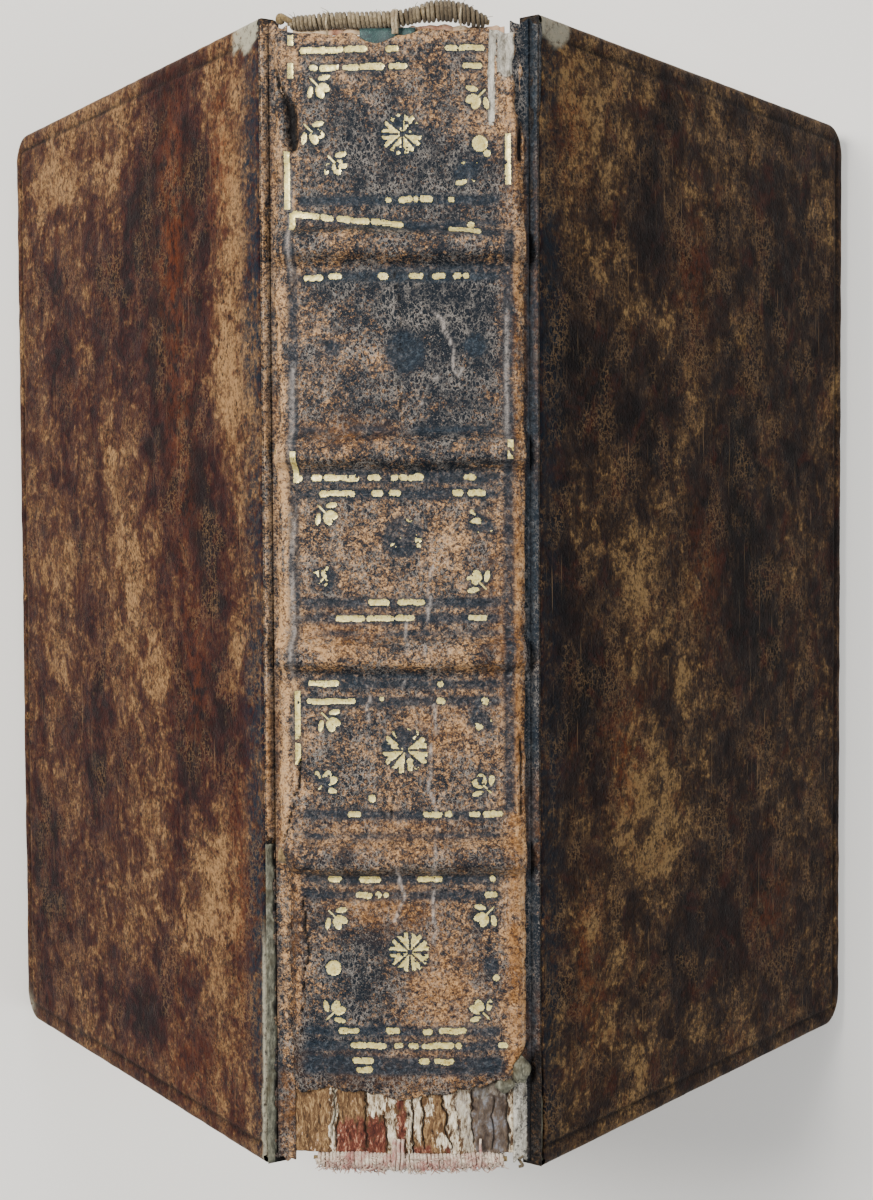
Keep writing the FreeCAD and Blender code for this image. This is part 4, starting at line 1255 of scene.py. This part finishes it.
def lump(name, at, sizes, material, seed, attributes=None):
    """A small ragged crumb of material, from a distorted ball."""
    v, t = np.meshgrid(np.linspace(0, math.pi, 22), np.linspace(0, 2 * math.pi, 36, endpoint=False), indexing="ij")
    direction = np.stack([np.sin(v) * np.cos(t), np.sin(v) * np.sin(t), np.cos(v)], axis=-1)
    wobble = 1 + 0.3 * noise(direction[..., 0] * 1.7 + seed, direction[..., 1] * 1.7 + direction[..., 2], seed)
    wobble = wobble + 0.14 * noise(direction[..., 0] * 4.5, direction[..., 1] * 4.5 + direction[..., 2] * 4, seed + 1)
    wobble[0], wobble[-1] = wobble[0].mean(), wobble[-1].mean()
    points = from_spine(*at) + direction * wobble[..., None] * np.asarray(sizes)
    rows, columns = v.shape
    faces = quads(rows, columns, wrap=True)
    faces = np.where(faces < columns, 0, faces)
    last = (rows - 1) * columns
    faces = np.where(faces >= last, last, faces)
    points = points.reshape(-1, 3)
    used, faces_flat = np.unique(faces, return_inverse=True)
    values = {key: np.full(len(used), value) for key, value in (attributes or {}).items()}
    piece = list_piece(name, points[used], faces_flat.reshape(faces.shape), material, attributes=values)
    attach(piece, "spine")


def lining_skins():
    """Waste paper on the folds, in the panels that leather still covers."""
    s, y = np.meshgrid(np.linspace(-14.4, 14.4, 90), np.linspace(-30.6, 66.0, 240))
    clear = np.min([np.abs(y[:-1, :-1] - band) for band in BANDS], axis=0) > 1.7
    height = 1.02 + 0.05 * noise(s / 3, y / 3, 106)
    piece = mesh_piece(
        "spine_lining_sheets", from_spine(s, y, height), quads(*s.shape, clear), LINING_PAPER,
        {"soil": np.full(s.shape, 0.8)}
    )
    thicken(piece, 0.1, 0.0)
    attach(piece, "spine")
    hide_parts("spine_lining_1", "spine_lining_2", "spine_lining_3", "spine_lining_4")


def head_fold_edges():
    """Stained head ends of the folds, just clear of the leather."""
    s, y = np.meshgrid(np.linspace(-13.6, 13.6, 240), np.linspace(70.78, 71.8, 12))
    across = ((s + 1) % 2) - 1
    rough = 0.16 * noise(s / 0.6, 0, 107) - 0.14 * np.abs(across)
    y = y + rough * step(70.8, 71.7, y)
    height = 0.5 + 0.3 * np.sqrt(np.clip(1 - across**2, 0, 1)) + 0.05 * noise(s / 0.4, y / 0.4, 108)
    stain = 0.5 + 0.35 * noise(s / 1.6, y / 2, 109)
    looks = {"stain": np.clip(stain, 0, 1), "soil": np.full(s.shape, 0.3)}
    piece = mesh_piece("head_fold_edges", from_spine(s, y, height), quads(*s.shape), LEAF_PAPER, looks)
    thicken(piece, 0.1, 0.0)
    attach(piece, "spine")


tail_scrap_skin()
lining_skins()
head_fold_edges()
lump("tail_leather_crumb", (14.9, -60.3, 2.0), (1.35, 1.8, 0.55), BOARD_CORE, 3, {"shadow": 0.0})
lump("tail_leather_flake", (12.9, -62.3, 2.1), (1.3, 0.8, 0.4), BOARD_CORE, 5, {"shadow": 0.0})


# Endbands: thread wound close round a core

TURN_STEPS = 11  # points in one turn of the winding
THREAD_RADIUS = 0.26
TIE_SIDES = 7
HEAD_FIBRES, TAIL_FIBRES = 40, 380  # the tail's winding is far more frayed


def tube_piece(name, tubes, material):
    points, faces = merge(tubes)
    piece = list_piece(name, points, faces, material)
    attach(piece, "spine")
    return piece


def band_centre(s, end):
    """Y and height of an endband's core at s. end is 1 at the head and -1 at the tail."""
    if end > 0:
        lift = 0.9 * bell(s - 5.5, 4.5)
        return 72.45 + lift + 0.2 * noise(s / 4, 0, 110) - 0.5 * step(8, 11.5, s), 1.0 + lift - 0.35 * step(8, 12, s)
    return -72.25 + 0.14 * noise(s / 3, 0, 111), 1.0 + 0.1 * noise(s / 5, 0, 112)


def endband(end, s_low, s_high, material, pitch):
    word = "head" if end > 0 else "tail"

    def frame_at(s):
        y, height = band_centre(s, end)
        point = from_spine(s, y, height)
        out = from_spine(s, y, height + 1) - point
        return point, out

    def radius_at(s):
        taper = step(s_high, s_high - 2.4, s) * step(s_low, s_low + 1.2, s)
        thick = (0.3 * step(2.2, 4.0, s) if end > 0 else 0.1) * taper
        return 0.38 + 0.26 * taper + thick + 0.05 * noise(s / 1.5, 0, 113)

    along = np.linspace(s_low - 0.5, s_high + 0.4, 60)
    core = tube([frame_at(s)[0] for s in along], [radius_at(s) - 0.06 for s in along], 12)
    core_piece = tube_piece(f"{word}_endband_cord", [core], HEMP)
    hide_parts(f"{word}_endband_core")
    path, s, turn = [], s_low, 0.0
    while s < s_high:
        point, out = frame_at(s)
        radius = radius_at(s) + 0.2
        path.append(point + radius * (math.cos(turn) * out - math.sin(turn) * np.array([0, 1.0, 0])))
        turn += 2 * math.pi / TURN_STEPS
        s += pitch * (1 + 0.25 * noise(s * 1.7, 0, 114)) / TURN_STEPS
    winding = tube(path, [THREAD_RADIUS + 0.03 * noise(k / 9, 0, 115) for k in range(len(path))], TIE_SIDES)
    tubes = [winding]
    rng = np.random.default_rng(21 if end > 0 else 22)
    for _ in range(HEAD_FIBRES if end > 0 else TAIL_FIBRES):  # broken fibres that stand out of the thread
        s = rng.uniform(s_low, s_high)
        point, out = frame_at(s)
        angle = rng.uniform(-0.6, math.pi * 0.9)
        radial = math.cos(angle) * out + math.sin(angle) * np.array([0, float(end), 0])
        start = point + radial * (radius_at(s) + 0.35)
        length = rng.uniform(0.4, 1.1)
        sideways = np.array([rng.normal(0, 0.6), 0, rng.normal(0, 0.3)])
        hair = [start + radial * length * t * 0.6 + sideways * length * t * t for t in np.linspace(0, 1, 5)]
        tubes.append(tube(hair, np.linspace(0.05, 0.025, 5) if end > 0 else np.linspace(0.13, 0.05, 5), 5))
    piece = tube_piece(f"{word}_endband_windings", tubes, material)
    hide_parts(f"{word}_endband_thread")


def smoothed(path, passes):
    """A path with its inner points drawn towards their neighbours, passes times."""
    for _ in range(passes):
        path[1:-1] = (path[:-2] + path[1:-1] * 2 + path[2:]) / 4
    return path


def tie(name, route, radius, material):
    """A stitch of thread through points (s, y, height)."""
    path, _ = resampled([from_spine(*point) for point in route], 0.18)
    tube_piece(name, [tube(smoothed(path, 3), radius, TIE_SIDES)], material)


endband(1, -13.7, 11.2, HEAD_THREAD, 0.58)
endband(-1, -11.4, 13.0, TAIL_THREAD, 0.5)
for number, (s, thickness) in enumerate(((-0.5, 0.24), (-0.1, 0.2), (-8.9, 0.14), (7.9, 0.14)), 1):
    y, height = band_centre(s, 1)
    top = height + 1.25
    route = (
        (s, y - 2.0, 1.9), (s + 0.05, y - 1.4, 2.0), (s - 0.1, y - 0.7, top), (s, y + 0.1, top + 0.1),
        (s, y + 0.9, top - 0.5), (s, y + 1.1, 0.6)
    )
    tie(f"head_tie_thread_{number}", route, thickness, LINEN)
for number, (s, thickness) in enumerate(((-1.3, 0.26), (-0.75, 0.24), (-0.2, 0.2), (9.8, 0.16)), 1):
    route = (
        (s + 0.1, -69.3, 1.6), (s, -70.2, 1.95), (s + 0.1, -71.2, 2.2), (s, -72.2, 2.35), (s - 0.1, -73.1, 1.9),
        (s, -73.4, 0.6)
    )
    tie(f"tail_tie_thread_{number}", route, thickness, TAIL_THREAD)
knot = (
    (14.4, -71.6, 1.0), (14.9, -72.1, 1.5), (15.5, -71.9, 1.2), (15.2, -71.5, 0.9), (14.8, -72.1, 0.8),
    (15.3, -72.8, 1.1), (15.6, -73.3, 0.8), (15.0, -73.4, 0.6)
)
tie("tail_thread_knot", knot, 0.2, HEAD_THREAD)
loose = (
    (-13.2, 72.5, 1.1), (-13.9, 72.7, 1.2), (-14.6, 73.1, 1.4), (-15.1, 73.4, 1.5), (-15.4, 73.0, 1.4),
    (-15.2, 72.6, 1.1), (-14.9, 72.9, 1.0)
)
tie("head_loose_core_end", loose, 0.42, HEMP)


# Ribbon

HALF_RIBBON = 3.5
RIBBON_X = -1.3  # its middle, a little to the back side


def ribbon():
    """Torn stub of a silk ribbon: over the folds, under the endband and down the leaves' head edge."""
    route = (
        (66.4, 1.12), (69.0, 1.2), (70.6, 1.34), (71.2, 1.42), (71.55, 1.2), (71.5, 0.4), (71.25, -1.5), (71.2, -5.0),
        (71.1, -9.0), (71.15, -13.2)
    )
    path, at = resampled(route, 0.25)
    path = smoothed(path, 4)
    across = np.linspace(-HALF_RIBBON, HALF_RIBBON, 40)
    y, s = np.meshgrid(path[:, 0], across, indexing="ij")
    height, at = np.broadcast_to(path[:, 1:2], s.shape), np.broadcast_to(at[:, None], s.shape)
    hanging = step(5.0, 8.0, at)
    y = y + hanging * (0.1 * np.sin(s * 1.6 + at / 3) + 0.06 * noise(s, at / 2, 120)) * (y > 71)
    narrow = 1 - 0.05 * hanging * (1 + noise(at / 3, 0, 121))
    torn = step(15.0, 18.5, at) * (0.9 * noise(s / 0.8, 0, 122) + 0.35 * s / HALF_RIBBON)
    x = RIBBON_X + s * narrow
    top_z = ARC_Z + np.sqrt((FOLD_ARC + np.maximum(height, 0)) ** 2 - x**2)
    z = top_z + np.minimum(height, 0) + 0.05 * np.sin(s * 2.2 + 1) * (1 - hanging) - torn
    points = np.stack([x, y, z], axis=-1)
    faces = quads(*s.shape)
    piece = mesh_piece("ribbon_stub", points, faces, SILK)
    thicken(piece, 0.1, 0.0)
    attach(piece, "spine")
    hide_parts("ribbon_marker")


ribbon()


# Leaves

SHEETS = 6
SHEET = 0.085  # thickness
OUTER_BEND = 0.575  # bend of a gathering's outermost sheet, then less by SHEET_PITCH for each inside it
SHEET_PITCH = 0.1
FLYLEAF_ROOT = 1.6  # far enough down from the fold to clear the spine leather at every pose
LEAF_ROWS = np.concatenate(
    [[-HALF_LEAF, -70.35, -69.6, -68.0], np.linspace(-65, 65, 19), [68.0, 69.6, 70.35, HALF_LEAF]]
)
LEAF_DROPS = np.concatenate([[LEAF_LENGTH, 86.6, 85.8, 84.0], np.linspace(80, 6, 9), [3.0, 1.4]])


def cockle(y, u, side):
    """How far the leaves of one side lean in together, in millimetres. It is 0 at the folds."""
    wave = 0.5 + 0.5 * fbm(y, u, 38, 2, 130 + side)
    return -0.3 * wave * step(8, 50, u)


def leaf_looks(y, u):
    rim = np.minimum(HALF_LEAF - np.abs(y), LEAF_LENGTH - u)
    return {
        "stain": 0.95 * step(0.55, 0.15, rim),
        "soil": 0.55 * step(5, 0.4, rim) * (0.5 + 0.5 * noise(y / 6, u / 6, 140))
    }


def gathering_piece(body):
    fold = FOLDS[body]
    side = 1 if fold[0] > 0 else -1
    number = GATHERINGS.index(body)
    parts, looks = [], {"stain": [], "soil": []}
    for sheet in range(SHEETS):
        radius = OUTER_BEND - SHEET_PITCH * sheet
        turn = np.linspace(0, math.pi, 7)[1:-1]
        section_w = np.concatenate(
            [np.full(len(LEAF_DROPS), radius), radius * np.cos(turn), np.full(len(LEAF_DROPS), -radius)]
        )
        section_u = np.concatenate([LEAF_DROPS, -radius * np.sin(turn), LEAF_DROPS[::-1]])
        y, w = np.meshgrid(LEAF_ROWS, section_w, indexing="ij")
        u = np.broadcast_to(section_u, y.shape)
        looks_here = leaf_looks(y, u)
        for key, values in looks_here.items():
            looks[key].append(values.ravel())
        ragged = 0.22 * noise(sheet * 3.1 + number, 7, 150) * np.abs(y) / HALF_LEAF
        u_end = 0.22 * noise(sheet * 2.3 + number, 3, 151) * step(60, 87, u)
        long_y = y + np.sign(y) * np.minimum(0, ragged)
        points = from_closed(w + cockle(y, u, side), long_y, u - np.abs(u_end), side, fold)
        parts.append((points, quads(*y.shape)))
    points, faces = merge(parts)
    values = {key: np.concatenate(lists) for key, lists in looks.items()}
    at_fold = len(LEAF_DROPS) + 2
    piece = mesh_piece(f"{body}_sheets", points, facing_up(points, faces, at_fold), LEAF_PAPER, values)
    thicken(piece, SHEET)
    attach(piece, body)
    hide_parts(body)


def flyleaf_piece(side):
    word = side_word(side)
    y, u = np.meshgrid(np.linspace(-70.6, 70.6, 90), np.linspace(FLYLEAF_ROOT, 86.8, 60), indexing="ij")
    looks = leaf_looks(y, u)
    looks["soil"] = np.clip(
        looks["soil"] + 0.35 * step(12, 0, u) + 0.25 * np.clip(fbm(y, u, 20, 2, 160 + side), 0, 1), 0, 1
    )
    w = 1.06 + cockle(y, u, side)
    piece = mesh_piece(
        f"{word}_flyleaf_sheet", from_closed(w, y, u, side), quads(*y.shape), LEAF_PAPER, looks
    )
    thicken(piece, 0.12, 0.0)
    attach(piece, f"{word}_flyleaf")
    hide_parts(f"{word}_flyleaf")


def pastedown_piece(side):
    """Endpaper over the board's inner side. It dips inside the turn-ins, and shows their edge."""
    word = side_word(side)
    half = HALF_BOARD - 4.0
    y, u = np.meshgrid(np.linspace(-half, half, 200), np.linspace(1.75, 85.5, 140), indexing="ij")
    window_edge = (
        np.minimum(HALF_BOARD - TURN_IN_WIDTH - np.abs(y), COVER_END - TURN_IN_WIDTH - u)
        + 0.45 * noise(y / 5, u / 5, 170 + side)
    )
    inside = step(1.2, 2.3, window_edge)
    w = 1.47 + 0.3 * inside + 0.02 * fbm(y, u, 6, 3, 171) * inside
    ridge = bell(window_edge - 1.6, 0.5)
    slips = np.zeros(y.shape)
    for band in BANDS:
        slips = slips + window(y, band - 1.4, band + 1.4, 0.6) * step(15.5, 13.5, u)
    w = w - 0.12 * slips * inside - 0.03 * ridge * inside
    soil = (
        0.5 * ridge + 0.35 * (1 - inside) + 0.4 * slips + 0.3 * step(8, 0, u)
        + 0.3 * np.clip(fbm(y, u, 16, 3, 172 + side), 0, 1)
    )
    w = w + 0.015 * noise(y / 1.2, u / 1.2, 173)
    points = from_closed(w, y, u, side)
    faces = quads(*y.shape)
    piece = mesh_piece(
        f"{word}_endpaper", points, faces, PASTED_PAPER, {"soil": np.clip(soil, 0, 1)}
    )
    thicken(piece, 0.16, 0.0)
    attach(piece, f"{word}_cover")
    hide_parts(f"{word}_pastedown")


for gathering_body in GATHERINGS:
    gathering_piece(gathering_body)
for book_side in (1, -1):
    flyleaf_piece(book_side)
    pastedown_piece(book_side)


# Finishes for the CAD pieces that stay

CAD_LOOKS = {
    "board": BOARD_CORE, "cord_slips": HEMP, "sewing_cord": HEMP, "sewing_thread": LINEN, "kettle_stitch": LINEN,
    "spine_lining": LINING_PAPER,
}
for node_name, node in frame["nodes"].items():
    for word, material in CAD_LOOKS.items():
        if word in node_name:
            for material_slot in node.material_slots:
                material_slot.material = material


# Stage

LENS = 56.52
CAMERA_AT = (14.42, 10.03, 313.53)
CAMERA_TURNS = ((0.179, "Z"), (-2.385, "Y"), (2.462, "X"))  # degrees about each axis, multiplied in this order


def add(name, data):
    """An object of the scene that isn't part of the book."""
    thing = bpy.data.objects.new(name, data)
    bpy.context.collection.objects.link(thing)
    return thing


def view_from_above():
    data = bpy.data.cameras.new("camera")
    data.sensor_fit = "VERTICAL"
    data.sensor_height = 36.0
    data.lens = LENS
    data.clip_start = 0.01
    camera = add("camera", data)
    turn = Matrix.Identity(3)
    for degrees, axis in CAMERA_TURNS:
        turn = turn @ Matrix.Rotation(math.radians(degrees), 3, axis)
    camera.matrix_world = Matrix.Translation(Vector(CAMERA_AT) * MM) @ turn.transposed().to_4x4()
    bpy.context.scene.camera = camera


def area_light(name, at, aim, size, power, tint=(1, 1, 1)):
    data = bpy.data.lights.new(name, "AREA")
    data.shape = "DISK"
    data.size = size
    data.energy = power
    data.color = tint
    light = add(name, data)
    light.location = at
    light.rotation_euler = (Vector(aim) - Vector(at)).to_track_quat("-Z", "Y").to_euler()


def soft_world():
    world = bpy.data.worlds.new("studio")
    world.use_nodes = True
    background = world.node_tree.nodes["Background"]
    background.inputs["Color"].default_value = (0.9, 0.92, 0.95, 1)
    background.inputs["Strength"].default_value = 0.34
    bpy.context.scene.world = world


def pale_floor():
    reach = 3  # metres
    corners = [(-reach, -reach, 0), (reach, -reach, 0), (reach, reach, 0), (-reach, reach, 0)]
    mesh = bpy.data.meshes.new("studio_floor")
    mesh.from_pydata(corners, [], [(0, 1, 2, 3)])
    mesh.materials.append(FLOOR)
    add("studio_floor", mesh)


view_from_above()
area_light("key", (-0.42, 0.22, 0.62), (0, 0, 0.05), 0.3, 11.0, (1.0, 0.98, 0.95))
area_light("fill", (0.5, -0.1, 0.5), (0, 0, 0.05), 0.45, 4.2, (0.95, 0.97, 1.0))
area_light("back", (0.1, 0.7, 0.35), (0, 0, 0.04), 0.4, 2.5)
soft_world()
pale_floor()
